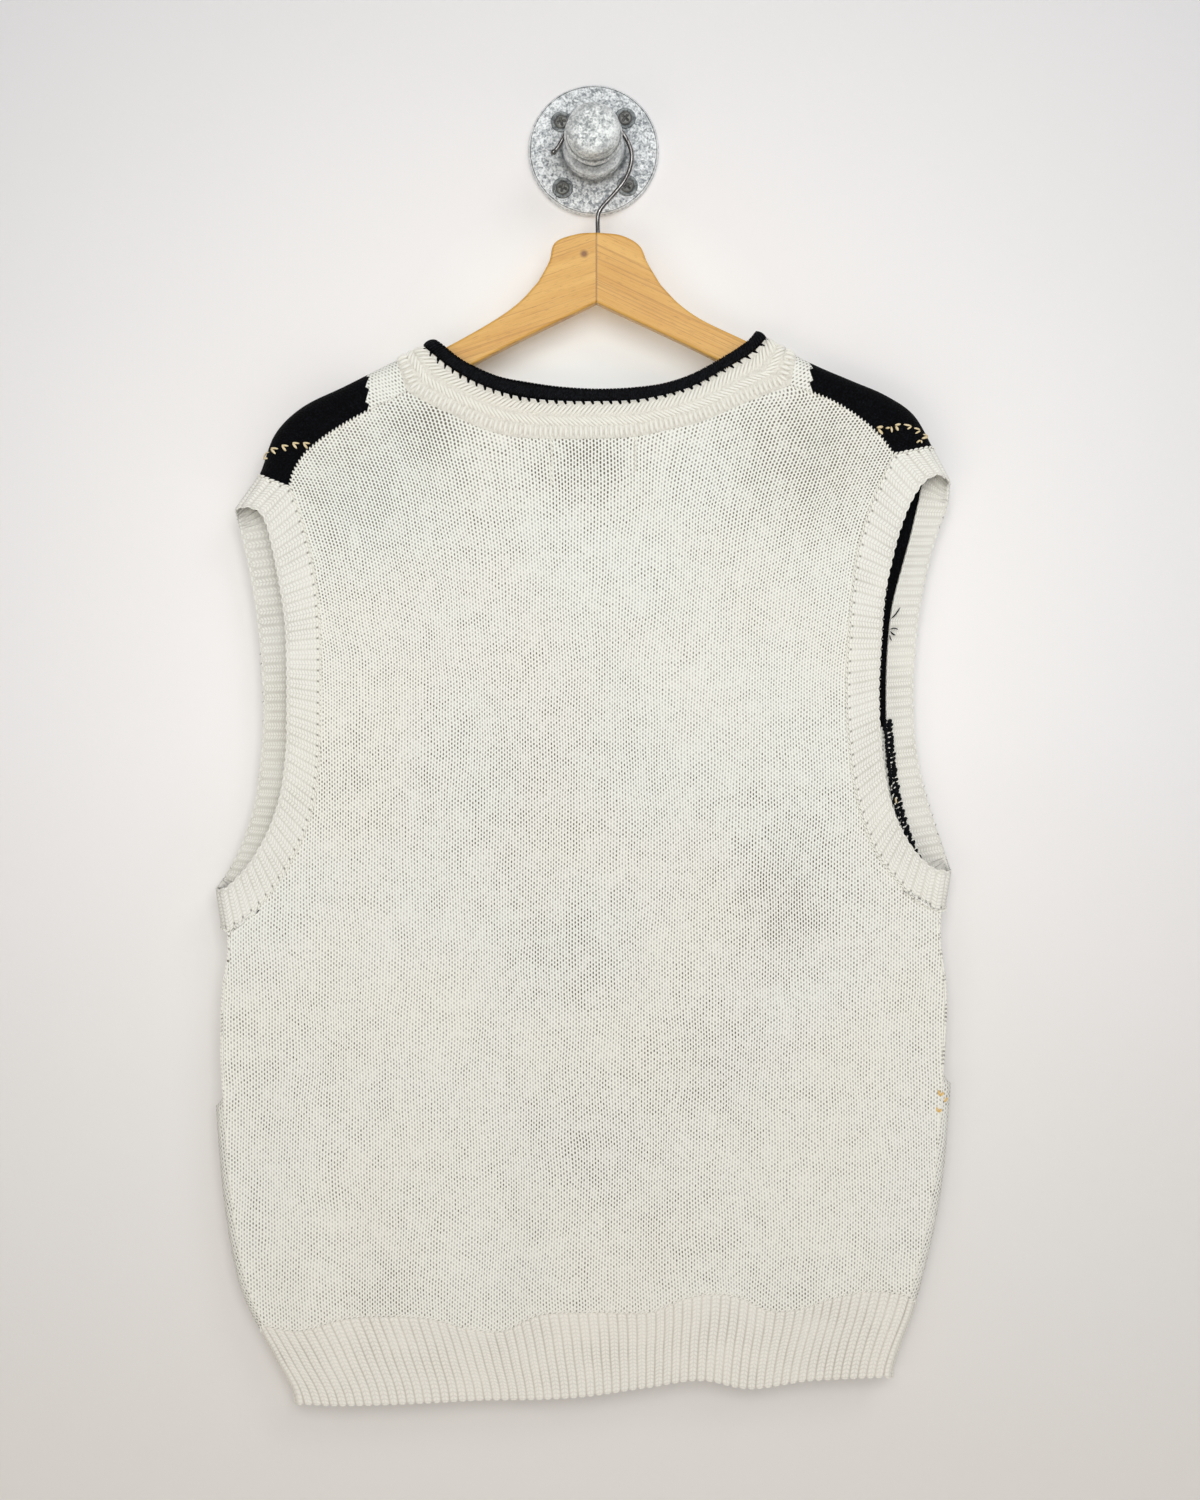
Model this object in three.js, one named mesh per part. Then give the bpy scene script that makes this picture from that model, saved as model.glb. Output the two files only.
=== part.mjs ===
import * as THREE from 'three';
import { mergeVertices } from 'three/addons/utils/BufferGeometryUtils.js';

// Knitted sweater vest on a wooden hanger, hung on a pipe-flange wall hook. Sizes in millimetres.
// The origin is the middle of the flange's back face, +Y goes into the wall, +Z is up,
// and -Y is the side towards the viewer, where the vest shows its back.

// Cloth
const CLOTH_THICKNESS = 2;
const SEAM_GAP = 0.3;
const TURNED_SEAM_EXTRA = 0.8;
const RIB_CREST_LIFT = 0.8;
const RIB_TROUGH_LIFT = -0.3;
const HEM_RIBS = 68;
const ARM_BAND_RIBS = { left: 98, right: 94 };
const NECK_COLUMNS = 112;
const SIDE_SEAM_INSET = 6;

// How the cloth hangs: the middle plane between its two layers, and half the space between them
const MID_DEPTH = { shoulder: -30, hem: -20 };
const HALF_SPACE = { shoulder: 8.5, hem: 7 };
const SHOULDER_LEVEL = -140;
const HEM_LEVEL = -840;

// Hanger and wall hook
const HANGER_THICKNESS = 11;
const HANGER_EDGE_ROUND = 1.5;
const HANGER_MIDDLE_X = 2;
const WIRE_RADIUS = 1.5;
const FLANGE = { radius: 44.5, plate: 5, hubRadius: 20.5, hubHeight: 16, boreRadius: 13.65, boreDepth: 11 };
const NIPPLE = { radius: 13.35, start: 5.2, end: 48.5 };
const CAP = { radius: 18.8, back: 38, front: 62, boreEnd: 49 };
const SCREW = { headRadius: 4.8, headHeight: 1.6, washerRadius: 7, washerHeight: 1 };

// Outer outline of the hanging vest, from the hem's corner up the side and along the shoulder to the neck
const OUTLINE = {
  left: [
    { x: -200, z: -875 }, { x: -202, z: -843 }, { x: -215, z: -817 }, { x: -237, z: -774 },
    { x: -248, z: -719 },
    { x: -254, z: -650 }, { x: -256, z: -604 }, { x: -254.5, z: -565 }, { x: -250.5, z: -532 },
    { x: -253.5, z: -502 }, { x: -249, z: -375 }, { x: -242.5, z: -251 }, { x: -236, z: -243 },
    { x: -224, z: -225 }, { x: -213, z: -197 }, { x: -196, z: -180 }, { x: -166, z: -165 },
    { x: -132, z: -148 }, { x: -112, z: -138.5 }, { x: -92, z: -127 },
  ],
  right: [
    { x: 200, z: -858 }, { x: 202, z: -826 }, { x: 207, z: -809 }, { x: 215, z: -788 },
    { x: 226, z: -748 },
    { x: 235, z: -700 }, { x: 241, z: -625 }, { x: 243, z: -572 }, { x: 238.5, z: -533 },
    { x: 237, z: -516 }, { x: 240.5, z: -491 }, { x: 241, z: -375 }, { x: 240.5, z: -233 },
    { x: 235, z: -221 }, { x: 227.5, z: -207 }, { x: 214, z: -184 }, { x: 195, z: -171 },
    { x: 174, z: -162 }, { x: 146, z: -150 }, { x: 116, z: -134 }, { x: 96, z: -123 },
  ],
};

// Armhole seams on the back panel, from the underarm up to the shoulder seam
const BACK_ARMHOLE = {
  left: [
    { x: -244, z: -530 }, { x: -228, z: -518 }, { x: -210, z: -497 }, { x: -196, z: -472 },
    { x: -187, z: -447 }, { x: -183, z: -415 }, { x: -182, z: -375 }, { x: -182, z: -335 },
    { x: -184, z: -302 }, { x: -189, z: -274 }, { x: -195, z: -252 }, { x: -202, z: -233 },
  ],
  right: [
    { x: 232, z: -516.5 }, { x: 219, z: -511 }, { x: 204, z: -497 }, { x: 189, z: -477 },
    { x: 179.5, z: -453 }, { x: 173.5, z: -427 }, { x: 170, z: -395 }, { x: 169, z: -362 },
    { x: 171, z: -325 }, { x: 175, z: -284 }, { x: 182.5, z: -253 }, { x: 191, z: -231 },
    { x: 200, z: -212 },
  ],
};

// Opening edges of the arm bands on the back, from the outline at the underarm to the outline at the shoulder
const BACK_ARM_EDGE = {
  left: [
    { x: -253, z: -502 }, { x: -247, z: -501 }, { x: -231, z: -485 }, { x: -218, z: -463 },
    { x: -210, z: -440 }, { x: -206, z: -413 }, { x: -205, z: -372 }, { x: -206, z: -327 },
    { x: -210, z: -297 }, { x: -215, z: -272 }, { x: -219, z: -257 }, { x: -223, z: -250.5 },
    { x: -231, z: -247.5 }, { x: -240, z: -249 },
  ],
  right: [
    { x: 239.5, z: -490 }, { x: 235, z: -489 }, { x: 227, z: -487 }, { x: 216, z: -477 },
    { x: 205, z: -459 }, { x: 198, z: -439 }, { x: 193, z: -408 }, { x: 191, z: -372 },
    { x: 192, z: -345 }, { x: 195, z: -305 }, { x: 199, z: -285 }, { x: 205, z: -262 },
    { x: 213, z: -242 }, { x: 222, z: -229.5 }, { x: 231, z: -226 }, { x: 238.5, z: -230 },
  ],
};

// The same armholes on the front: seam and opening edge, from the shoulder down to the underarm
const FRONT_ARMHOLE = {
  left: [
    { x: -223, z: -225.5 }, { x: -215, z: -240 }, { x: -208, z: -262 }, { x: -204, z: -295 },
    { x: -202, z: -335 }, { x: -202, z: -380 }, { x: -206, z: -418 }, { x: -213, z: -452 },
    { x: -224, z: -483 }, { x: -237, z: -511 }, { x: -249, z: -531 },
  ],
  right: [
    { x: 226.5, z: -208 }, { x: 224, z: -222 }, { x: 218.5, z: -243 }, { x: 213, z: -266 },
    { x: 207, z: -288 }, { x: 201, z: -312 }, { x: 198, z: -340 }, { x: 197, z: -372 },
    { x: 198, z: -402 }, { x: 203, z: -438 }, { x: 212, z: -470 }, { x: 224, z: -497 },
    { x: 236, z: -517 },
  ],
};
const FRONT_ARM_EDGE = {
  left: [
    { x: -240, z: -249 }, { x: -238, z: -262 }, { x: -232, z: -290 }, { x: -227, z: -323 },
    { x: -224, z: -355 }, { x: -223, z: -387 }, { x: -225, z: -417 }, { x: -229, z: -445 },
    { x: -237, z: -470 }, { x: -246, z: -489 }, { x: -253, z: -502 },
  ],
  right: [
    { x: 238.5, z: -230 }, { x: 238, z: -245 }, { x: 231, z: -266 }, { x: 225, z: -290 },
    { x: 220.5, z: -314 }, { x: 217.5, z: -338 }, { x: 216, z: -370 }, { x: 217, z: -398 },
    { x: 221, z: -424 }, { x: 228, z: -450 }, { x: 235, z: -471 }, { x: 239.5, z: -490 },
  ],
};

// Shoulder seams, which lie on the back, from the armhole to the neck
const SHOULDER_SEAM = {
  left: [
    { x: -202, z: -233 }, { x: -200, z: -225 }, { x: -193, z: -213 }, { x: -181, z: -202 },
    { x: -166, z: -192 }, { x: -148, z: -182 }, { x: -124, z: -170 },
  ],
  right: [
    { x: 200, z: -212 }, { x: 196, z: -206.5 }, { x: 188, z: -197 }, { x: 174, z: -185.5 },
    { x: 160, z: -177 }, { x: 146, z: -171 }, { x: 131, z: -166 },
  ],
};

// Neck rings: panel seam, line between white band and black trim, and the trim's own edge.
// The back row goes from the left outline to the right one, the front rows down to the point of the V.
const NECK_BACK = [
  { seamX: -130, seamZ: -149, bandX: -113, bandZ: -140.5, trimX: -105, trimZ: -136 },
  { seamX: -124, seamZ: -170, bandX: -106, bandZ: -146, trimX: -98, trimZ: -141 },
  { seamX: -110, seamZ: -178, bandX: -97, bandZ: -153, trimX: -89, trimZ: -148 },
  { seamX: -94, seamZ: -185.5, bandX: -83, bandZ: -162, trimX: -76, trimZ: -155 },
  { seamX: -76, seamZ: -194, bandX: -67, bandZ: -169, trimX: -62, trimZ: -160.5 },
  { seamX: -54, seamZ: -200, bandX: -49, bandZ: -174, trimX: -44, trimZ: -164 },
  { seamX: -28, seamZ: -201.5, bandX: -26, bandZ: -176.5, trimX: -23, trimZ: -167 },
  { seamX: 0, seamZ: -201.5, bandX: 1, bandZ: -177, trimX: 2, trimZ: -168.5 },
  { seamX: 28, seamZ: -200, bandX: 28, bandZ: -176, trimX: 27, trimZ: -167.5 },
  { seamX: 52, seamZ: -195, bandX: 50, bandZ: -172, trimX: 48, trimZ: -164.5 },
  { seamX: 72, seamZ: -190, bandX: 68, bandZ: -166, trimX: 66, trimZ: -158.5 },
  { seamX: 91, seamZ: -182, bandX: 86, bandZ: -156, trimX: 83, trimZ: -149.5 },
  { seamX: 110, seamZ: -174, bandX: 103, bandZ: -146, trimX: 98, trimZ: -140 },
  { seamX: 131, seamZ: -166, bandX: 110, bandZ: -140.5, trimX: 104, trimZ: -135.5 },
  { seamX: 134, seamZ: -145, bandX: 114.5, bandZ: -135, trimX: 107.5, trimZ: -131 },
];
const NECK_FRONT = {
  left: [
    { seamX: -130, seamZ: -149, bandX: -113, bandZ: -140.5, trimX: -105, trimZ: -136 },
    { seamX: -134, seamZ: -186, bandX: -114, bandZ: -178, trimX: -106, trimZ: -174 },
    { seamX: -120, seamZ: -222, bandX: -100, bandZ: -214, trimX: -92, trimZ: -210 },
    { seamX: -101, seamZ: -264, bandX: -81, bandZ: -256, trimX: -73, trimZ: -252 },
    { seamX: -81, seamZ: -302, bandX: -61, bandZ: -294, trimX: -53, trimZ: -290 },
    { seamX: -58, seamZ: -342, bandX: -39, bandZ: -331, trimX: -32, trimZ: -326 },
    { seamX: -28, seamZ: -376, bandX: -18, bandZ: -356, trimX: -14, trimZ: -347 },
    { seamX: 0, seamZ: -388, bandX: 0, bandZ: -366, trimX: 0, trimZ: -356 },
  ],
  right: [
    { seamX: 134, seamZ: -145, bandX: 114.5, bandZ: -135, trimX: 107.5, trimZ: -131 },
    { seamX: 137, seamZ: -184, bandX: 117, bandZ: -176, trimX: 109, trimZ: -172 },
    { seamX: 124, seamZ: -221, bandX: 104, bandZ: -213, trimX: 96, trimZ: -209 },
    { seamX: 105, seamZ: -263, bandX: 85, bandZ: -255, trimX: 77, trimZ: -251 },
    { seamX: 84, seamZ: -302, bandX: 64, bandZ: -294, trimX: 56, trimZ: -290 },
    { seamX: 60, seamZ: -342, bandX: 41, bandZ: -331, trimX: 34, trimZ: -326 },
    { seamX: 29, seamZ: -376, bandX: 19, bandZ: -356, trimX: 15, trimZ: -347 },
    { seamX: 0, seamZ: -388, bandX: 0, bandZ: -366, trimX: 0, trimZ: -356 },
  ],
};

// Line where the hem rib begins on the back, and the vest's lower edge
const RIB_TOP = [
  { x: -225, z: -794 }, { x: -200, z: -798 }, { x: -163, z: -789 }, { x: -112, z: -789 },
  { x: -84, z: -797 }, { x: -62, z: -799 }, { x: -36, z: -787 }, { x: 0, z: -785 },
  { x: 38, z: -785 }, { x: 60, z: -776 }, { x: 82, z: -773 }, { x: 98, z: -776 },
  { x: 118, z: -785 }, { x: 140, z: -783 }, { x: 162, z: -775 }, { x: 188, z: -771 }, { x: 215, z: -776 },
];
const HEM_EDGE = [
  { x: -194, z: -848 }, { x: -170, z: -849 }, { x: -85, z: -846 }, { x: -9, z: -843 },
  { x: 35, z: -837 }, { x: 72, z: -832 }, { x: 105, z: -838 }, { x: 148, z: -832 }, { x: 196, z: -830 },
];

// Long soft folds: x at the lower end, height range, sideways lean over the height, half width,
// and depth outwards
const BACK_FOLDS = [
  { x: -190, low: -800, high: -560, lean: -12, width: 26, depth: 2.2 },
  { x: -128, low: -800, high: -600, lean: 14, width: 30, depth: 3 },
  { x: -72, low: -815, high: -640, lean: 26, width: 20, depth: -3.4 },
  { x: -18, low: -800, high: -560, lean: 20, width: 32, depth: 3 },
  { x: 58, low: -795, high: -620, lean: -8, width: 26, depth: 2.6 },
  { x: 116, low: -810, high: -650, lean: -20, width: 20, depth: -3.2 },
  { x: 172, low: -790, high: -540, lean: 14, width: 26, depth: 2.6 },
  { x: -150, low: -470, high: -235, lean: 18, width: 24, depth: -1.2 },
  { x: 138, low: -470, high: -225, lean: -14, width: 24, depth: -1.2 },
  { x: -4, low: -420, high: -215, lean: 4, width: 52, depth: -1.3 },
];
const FRONT_FOLDS = [
  { x: -150, low: -810, high: -600, lean: 10, width: 30, depth: 2.6 },
  { x: -60, low: -820, high: -560, lean: 14, width: 34, depth: -2.6 },
  { x: 30, low: -815, high: -600, lean: -10, width: 32, depth: 2.6 },
  { x: 118, low: -810, high: -640, lean: -16, width: 26, depth: -2.4 },
  { x: 185, low: -800, high: -580, lean: 8, width: 26, depth: 2 },
];
const BLOUSE = { above: 20, height: 34, depth: 2.4 };
const FRONT_HEM_RISE = 4;

// Visible outline of each half of the hanger, and its hidden arm, from the top middle round
// to the lower middle
const HANGER_HALF = {
  left: [
    { x: 2, z: -63 }, { x: -11, z: -64 }, { x: -26, z: -70 }, { x: -29.5, z: -82 },
    { x: -37, z: -96 }, { x: -49, z: -109 }, { x: -63, z: -119.5 }, { x: -98, z: -139.5 },
    { x: -129.5, z: -154.5 }, { x: -163, z: -171.5 }, { x: -192, z: -187 }, { x: -205, z: -198 },
    { x: -207, z: -206 }, { x: -200, z: -209 }, { x: -165, z: -195 }, { x: -122, z: -174 },
    { x: -62, z: -141.5 }, { x: 2, z: -110 },
  ],
  right: [
    { x: 2, z: -63 }, { x: 19, z: -65 }, { x: 31, z: -72 }, { x: 36, z: -83 },
    { x: 45, z: -98 }, { x: 57, z: -110.5 }, { x: 71, z: -120.5 }, { x: 103, z: -136 },
    { x: 143.5, z: -156.5 }, { x: 171.5, z: -169 }, { x: 192, z: -178.5 }, { x: 205, z: -190 },
    { x: 208, z: -198 }, { x: 201, z: -201 }, { x: 168, z: -189 }, { x: 124, z: -170 },
    { x: 71, z: -142.5 }, { x: 2, z: -110 },
  ],
};
const HOOK_WIRE = [
  { x: -28.4, z: -9.6 }, { x: -24.5, z: -6 }, { x: -20, z: 1.5 }, { x: -15.5, z: 8.5 },
  { x: -9, z: 13.3 }, { x: -1, z: 15.1 }, { x: 8, z: 13.6 }, { x: 15.5, z: 9 },
  { x: 21.5, z: 1.5 }, { x: 25.4, z: -8 }, { x: 25, z: -17 }, { x: 21, z: -27 },
  { x: 14, z: -36 }, { x: 5.5, z: -45.5 }, { x: 3.2, z: -50 }, { x: 3, z: -62.9 },
];
const SCREW_PLACES = [{ x: -22, z: 19 }, { x: 21.5, z: 21.5 }, { x: -21, z: -26 }, { x: 23, z: -24.5 }];

const part = new THREE.Group();

function clamp(value, low, high) {
  return Math.min(Math.max(value, low), high);
}

function mix(from, to, share) {
  return from + (to - from) * share;
}

function smoothStep(value, low, high) {
  const share = clamp((value - low) / (high - low), 0, 1);
  return share * share * (3 - 2 * share);
}

// Smooth line through a table, as evenly spaced points of the plane
function smoothLine(table, count = 160, xName = 'x', zName = 'z') {
  const knots = table.map((row) => new THREE.Vector3(row[xName], 0, row[zName]));
  const curve = new THREE.CatmullRomCurve3(knots, false, 'centripetal');
  curve.arcLengthDivisions = 600;
  return curve.getSpacedPoints(count).map((point) => ({ x: point.x, z: point.z }));
}

function spanBetween(a, b) {
  return Math.hypot(a.x - b.x, (a.y ?? 0) - (b.y ?? 0), a.z - b.z);
}

// Point at a share of a line's length; also carries along a normal where the points have one
function pointAt(line, share) {
  let total = 0;
  for (let index = 1; index < line.length; index += 1) total += spanBetween(line[index - 1], line[index]);
  let left = clamp(share, 0, 1) * total;
  for (let index = 1; index < line.length; index += 1) {
    const step = spanBetween(line[index - 1], line[index]);
    if (left <= step || index === line.length - 1) {
      return blend(line[index - 1], line[index], step > 0 ? Math.min(left / step, 1) : 0);
    }
    left -= step;
  }
  return line[line.length - 1];
}

function blend(a, b, share) {
  const point = { x: mix(a.x, b.x, share), z: mix(a.z, b.z, share) };
  if (a.y !== undefined) point.y = mix(a.y, b.y, share);
  if (a.normal) point.normal = a.normal.clone().lerp(b.normal, share);
  return point;
}

const outlineLines = { left: smoothLine(OUTLINE.left, 420), right: smoothLine(OUTLINE.right, 420) };

// Nearest place on one side's outline, with the direction into the cloth and the distance that way
function footOn(side, x, z) {
  const line = outlineLines[side];
  const turn = side === 'left' ? 1 : -1;
  let best = { away: Infinity };
  for (let index = 1; index < line.length; index += 1) {
    const a = line[index - 1];
    const b = line[index];
    const length = spanBetween(a, b);
    const along = { x: (b.x - a.x) / length, z: (b.z - a.z) / length };
    const share = clamp((x - a.x) * along.x + (z - a.z) * along.z, 0, length);
    const foot = { x: a.x + along.x * share, z: a.z + along.z * share };
    const away = Math.hypot(x - foot.x, z - foot.z);
    if (away < best.away) {
      const inward = { x: along.z * turn, z: -along.x * turn };
      const within = (x - foot.x) * inward.x + (z - foot.z) * inward.z;
      best = { away, foot, inward, sign: within < 0 ? -1 : 1 };
    }
  }
  if (best.away > 0.5) {
    best.inward = {
      x: ((x - best.foot.x) / best.away) * best.sign,
      z: ((z - best.foot.z) / best.away) * best.sign,
    };
  }
  return { foot: best.foot, inward: best.inward, inside: best.away * best.sign };
}

function footOf(x, z) {
  const left = footOn('left', x, z);
  const right = footOn('right', x, z);
  return left.inside < right.inside ? left : right;
}

function middleDepth(z) {
  return mix(MID_DEPTH.shoulder, MID_DEPTH.hem, smoothStep(-z, -SHOULDER_LEVEL, -HEM_LEVEL));
}

function halfSpace(z) {
  const down = clamp((z - SHOULDER_LEVEL) / (HEM_LEVEL - SHOULDER_LEVEL), 0, 1);
  return mix(HALF_SPACE.shoulder, HALF_SPACE.hem, down);
}

function heightOnTable(table, x) {
  let index = 1;
  while (index < table.length - 1 && table[index].x < x) index += 1;
  const a = table[index - 1];
  const b = table[index];
  return mix(a.z, b.z, clamp((x - a.x) / (b.x - a.x), 0, 1));
}

// How far the folds and the soft blouse above the rib push a layer outwards
function fullness(x, z, face) {
  let push = 0;
  for (const fold of face < 0 ? BACK_FOLDS : FRONT_FOLDS) {
    const rise = (z - fold.low) / (fold.high - fold.low);
    const across = (x - fold.x - fold.lean * rise) / fold.width;
    const along = smoothStep(rise, -0.35, 0.12) * (1 - smoothStep(rise, 0.3, 1));
    push += fold.depth * Math.exp(-across * across) * along;
  }
  const above = z - heightOnTable(RIB_TOP, x) - BLOUSE.above;
  return push + BLOUSE.depth * Math.exp(-((above / BLOUSE.height) ** 2));
}

function layerShift(x, z, face, depthIn) {
  return middleDepth(z) + face * fullness(x, z, face) * smoothStep(depthIn, 3, 45);
}

// Point and outward normal of a layer's middle surface, at a distance in from the turned edge
function onLayer(x, z, face, foot) {
  const space = halfSpace(foot.foot.z);
  const depthIn = Math.max(foot.inside - CLOTH_THICKNESS / 2, 0);
  const reach = Math.min(depthIn / space, 1);
  const rise = Math.sqrt(1 - (1 - reach) ** 2);
  const step = 0.5;
  const shiftAt = (stepX, stepZ) => layerShift(x + stepX, z + stepZ, face, depthIn);
  const slopeX = (shiftAt(step, 0) - shiftAt(-step, 0)) / (2 * step);
  const slopeZ = (shiftAt(0, step) - shiftAt(0, -step)) / (2 * step);
  const normal = new THREE.Vector3(-(1 - reach) * foot.inward.x, face * rise, -(1 - reach) * foot.inward.z);
  normal.x -= normal.y * slopeX;
  normal.z -= normal.y * slopeZ;
  return { x, y: shiftAt(0, 0) + face * space * rise, z, normal: normal.normalize() };
}

// The flat pattern plane of a layer: the cloth that turns round an edge lies outside the outline there
const TURN_FADE = 6;

function placeFlat(flatX, flatZ, face) {
  const foot = footOf(flatX, flatZ);
  return placeAlong(foot, foot.inside, face);
}

function placeAlong(foot, flatInside, face) {
  const space = halfSpace(foot.foot.z);
  const run = flatInside - CLOTH_THICKNESS / 2;
  const length = Math.abs(run);
  let depthIn = length;
  if (length < (space * Math.PI) / 2) depthIn = space * (1 - Math.cos(length / space));
  else if (length < space * TURN_FADE) {
    depthIn = space + ((length - (space * Math.PI) / 2) * (TURN_FADE - 1)) / (TURN_FADE - Math.PI / 2);
  }
  const inside = depthIn + CLOTH_THICKNESS / 2;
  const x = foot.foot.x + foot.inward.x * inside;
  const z = foot.foot.z + foot.inward.z * inside;
  return onLayer(x, z, run >= 0 ? face : -face, { foot: foot.foot, inward: foot.inward, inside });
}

function flatten(point, pointFace, face) {
  const foot = footOf(point.x, point.z);
  const space = halfSpace(foot.foot.z);
  const depthIn = Math.max(foot.inside - CLOTH_THICKNESS / 2, 0);
  let length = depthIn;
  if (depthIn < space) length = space * Math.acos(1 - depthIn / space);
  else if (depthIn < space * TURN_FADE) {
    length = (space * Math.PI) / 2 + ((depthIn - space) * (TURN_FADE - Math.PI / 2)) / (TURN_FADE - 1);
  }
  const run = (pointFace === face ? length : -length) + CLOTH_THICKNESS / 2;
  const x = foot.foot.x + foot.inward.x * run;
  return { x, z: foot.foot.z + foot.inward.z * run, inward: foot.inward, inside: run };
}

function between(from, to) {
  return new THREE.Vector3(to.x - from.x, to.y - from.y, to.z - from.z);
}

// Closed wall from a sheet of points with normals: outside raised by each point's lift, plain inside
function addWall(name, points, quads) {
  let facing = 0;
  for (const [a, b, , d] of quads) {
    facing += between(points[a], points[b]).cross(between(points[a], points[d])).dot(points[a].normal);
  }
  const faces = facing < 0 ? quads.map((quad) => [...quad].reverse()) : quads;
  const count = points.length;
  const positions = [];
  for (const side of [1, -1]) {
    for (const point of points) {
      const out = side > 0 ? CLOTH_THICKNESS / 2 + (point.lift ?? 0) : -CLOTH_THICKNESS / 2;
      const { x, y, z } = point.normal;
      positions.push(point.x + x * out, point.y + y * out, point.z + z * out);
    }
  }
  const directed = new Set();
  for (const quad of faces) {
    quad.forEach((corner, index) => directed.add(`${corner}_${quad[(index + 1) % 4]}`));
  }
  const triangles = [];
  for (const quad of faces) {
    const [p, q, r, s] = quad;
    const shorter = spanBetween(points[p], points[r]) <= spanBetween(points[q], points[s]);
    const [a, b, c, d] = shorter ? quad : [q, r, s, p];
    triangles.push(a, b, c, a, c, d);
    triangles.push(count + a, count + c, count + b, count + a, count + d, count + c);
    quad.forEach((corner, index) => {
      const next = quad[(index + 1) % 4];
      if (directed.has(`${next}_${corner}`)) return;
      triangles.push(next, corner, count + corner, next, count + corner, count + next);
    });
  }
  const geometry = new THREE.BufferGeometry();
  geometry.setAttribute('position', new THREE.Float32BufferAttribute(positions, 3));
  geometry.setIndex(triangles);
  addMesh(name, geometry);
}

function addMesh(name, geometry) {
  const mesh = new THREE.Mesh(geometry);
  mesh.name = name;
  part.add(mesh);
}

function gridQuads(rows, columns, closed) {
  const quads = [];
  const perRow = closed ? columns : columns + 1;
  for (let row = 0; row < rows; row += 1) {
    for (let column = 0; column < columns; column += 1) {
      const next = (column + 1) % perRow;
      const low = row * perRow;
      const high = low + perRow;
      quads.push([low + column, low + next, high + next, high + column]);
    }
  }
  return quads;
}

// Patch of the flat plane between four boundary lines, which share their corners
function coonsPatch(bottom, top, left, right, across, upward) {
  const rows = [];
  for (let row = 0; row < left.length; row += 1) {
    const v = upward[row];
    const line = [];
    for (let column = 0; column < bottom.length; column += 1) {
      const u = across[column];
      const at = {};
      for (const axis of ['x', 'z']) {
        const rising = mix(bottom[column][axis], top[column][axis], v);
        const crossing = mix(left[row][axis], right[row][axis], u);
        const lower = mix(bottom[0][axis], bottom[bottom.length - 1][axis], u);
        const upper = mix(top[0][axis], top[top.length - 1][axis], u);
        at[axis] = rising + crossing - mix(lower, upper, v);
      }
      line.push(at);
    }
    rows.push(line);
  }
  return rows;
}

function evenShares(count) {
  return Array.from({ length: count + 1 }, (_, index) => index / count);
}

// Side seams, a little way in from the outline on the back
const SIDE_ROWS = 12;
const ARMHOLE_SHARES = [0, 0.03, 0.065, 0.12, 0.2, 0.3, 0.4, 0.5, 0.6, 0.7, 0.8, 0.9, 1];
const SHOULDER_SHARES = [0, 0.024, 0.048, 0.074, 0.11, 0.2, 0.33, 0.48, 0.65, 0.82, 1];

function outlineInset(side, z, inset) {
  const turn = side === 'left' ? 1 : -1;
  const line = outlineLines[side];
  const above = Math.max(line.findIndex((point) => point.z > z), 1);
  const share = (z - line[above - 1].z) / (line[above].z - line[above - 1].z);
  return { x: mix(line[above - 1].x, line[above].x, share) + turn * inset, z };
}

function sideSeam(side) {
  const bottomZ = side === 'left' ? RIB_TOP[0].z : RIB_TOP[RIB_TOP.length - 1].z;
  const top = BACK_ARMHOLE[side][0];
  return evenShares(SIDE_ROWS).map((share) => {
    const z = mix(bottomZ, top.z, share);
    const at = outlineInset(side, z, SIDE_SEAM_INSET + CLOTH_THICKNESS / 2);
    return { x: mix(at.x, top.x, smoothStep(share, 0.85, 1)), z };
  });
}

const seams = { side: {}, armhole: {}, shoulder: {} };
for (const side of ['left', 'right']) {
  seams.side[side] = sideSeam(side);
  const armhole = smoothLine(BACK_ARMHOLE[side]);
  seams.armhole[side] = ARMHOLE_SHARES.map((share) => pointAt(armhole, share));
  const line = smoothLine(SHOULDER_SEAM[side]);
  seams.shoulder[side] = SHOULDER_SHARES.map((share) => pointAt(line, share));
}

// Back panel
function backPanel() {
  const left = [...seams.side.left, ...seams.armhole.left.slice(1)];
  const right = [...seams.side.right, ...seams.armhole.right.slice(1)];
  const neck = NECK_BACK.slice(1, -1).map((row) => ({ x: row.seamX, z: row.seamZ }));
  const top = [...seams.shoulder.left, ...neck.slice(1, -1), ...[...seams.shoulder.right].reverse()];
  const topWidth = top[top.length - 1].x - top[0].x;
  const across = top.map((point, column) => {
    const even = column / (top.length - 1);
    return mix(even, (point.x - top[0].x) / topWidth, 0.6);
  });
  const ribLine = smoothLine(RIB_TOP, 400);
  const bottom = across.map((share) => {
    const x = mix(left[0].x, right[0].x, share);
    return { x, z: heightOnTable(ribLine, x) };
  });
  bottom[0].z = left[0].z;
  bottom[bottom.length - 1].z = right[0].z;
  const upward = left.map((point, row) => {
    const first = (point.z - left[0].z) / (left[left.length - 1].z - left[0].z);
    const second = (right[row].z - right[0].z) / (right[right.length - 1].z - right[0].z);
    return (first + second) / 2;
  });
  const rows = coonsPatch(bottom, top, left, right, across, upward);
  return rows.map((row) => row.map((point) => onLayer(point.x, point.z, -1, footOf(point.x, point.z))));
}

const backRows = backPanel();
addWall('back_panel', backRows.flat(), gridQuads(backRows.length - 1, backRows[0].length - 1, false));

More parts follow.
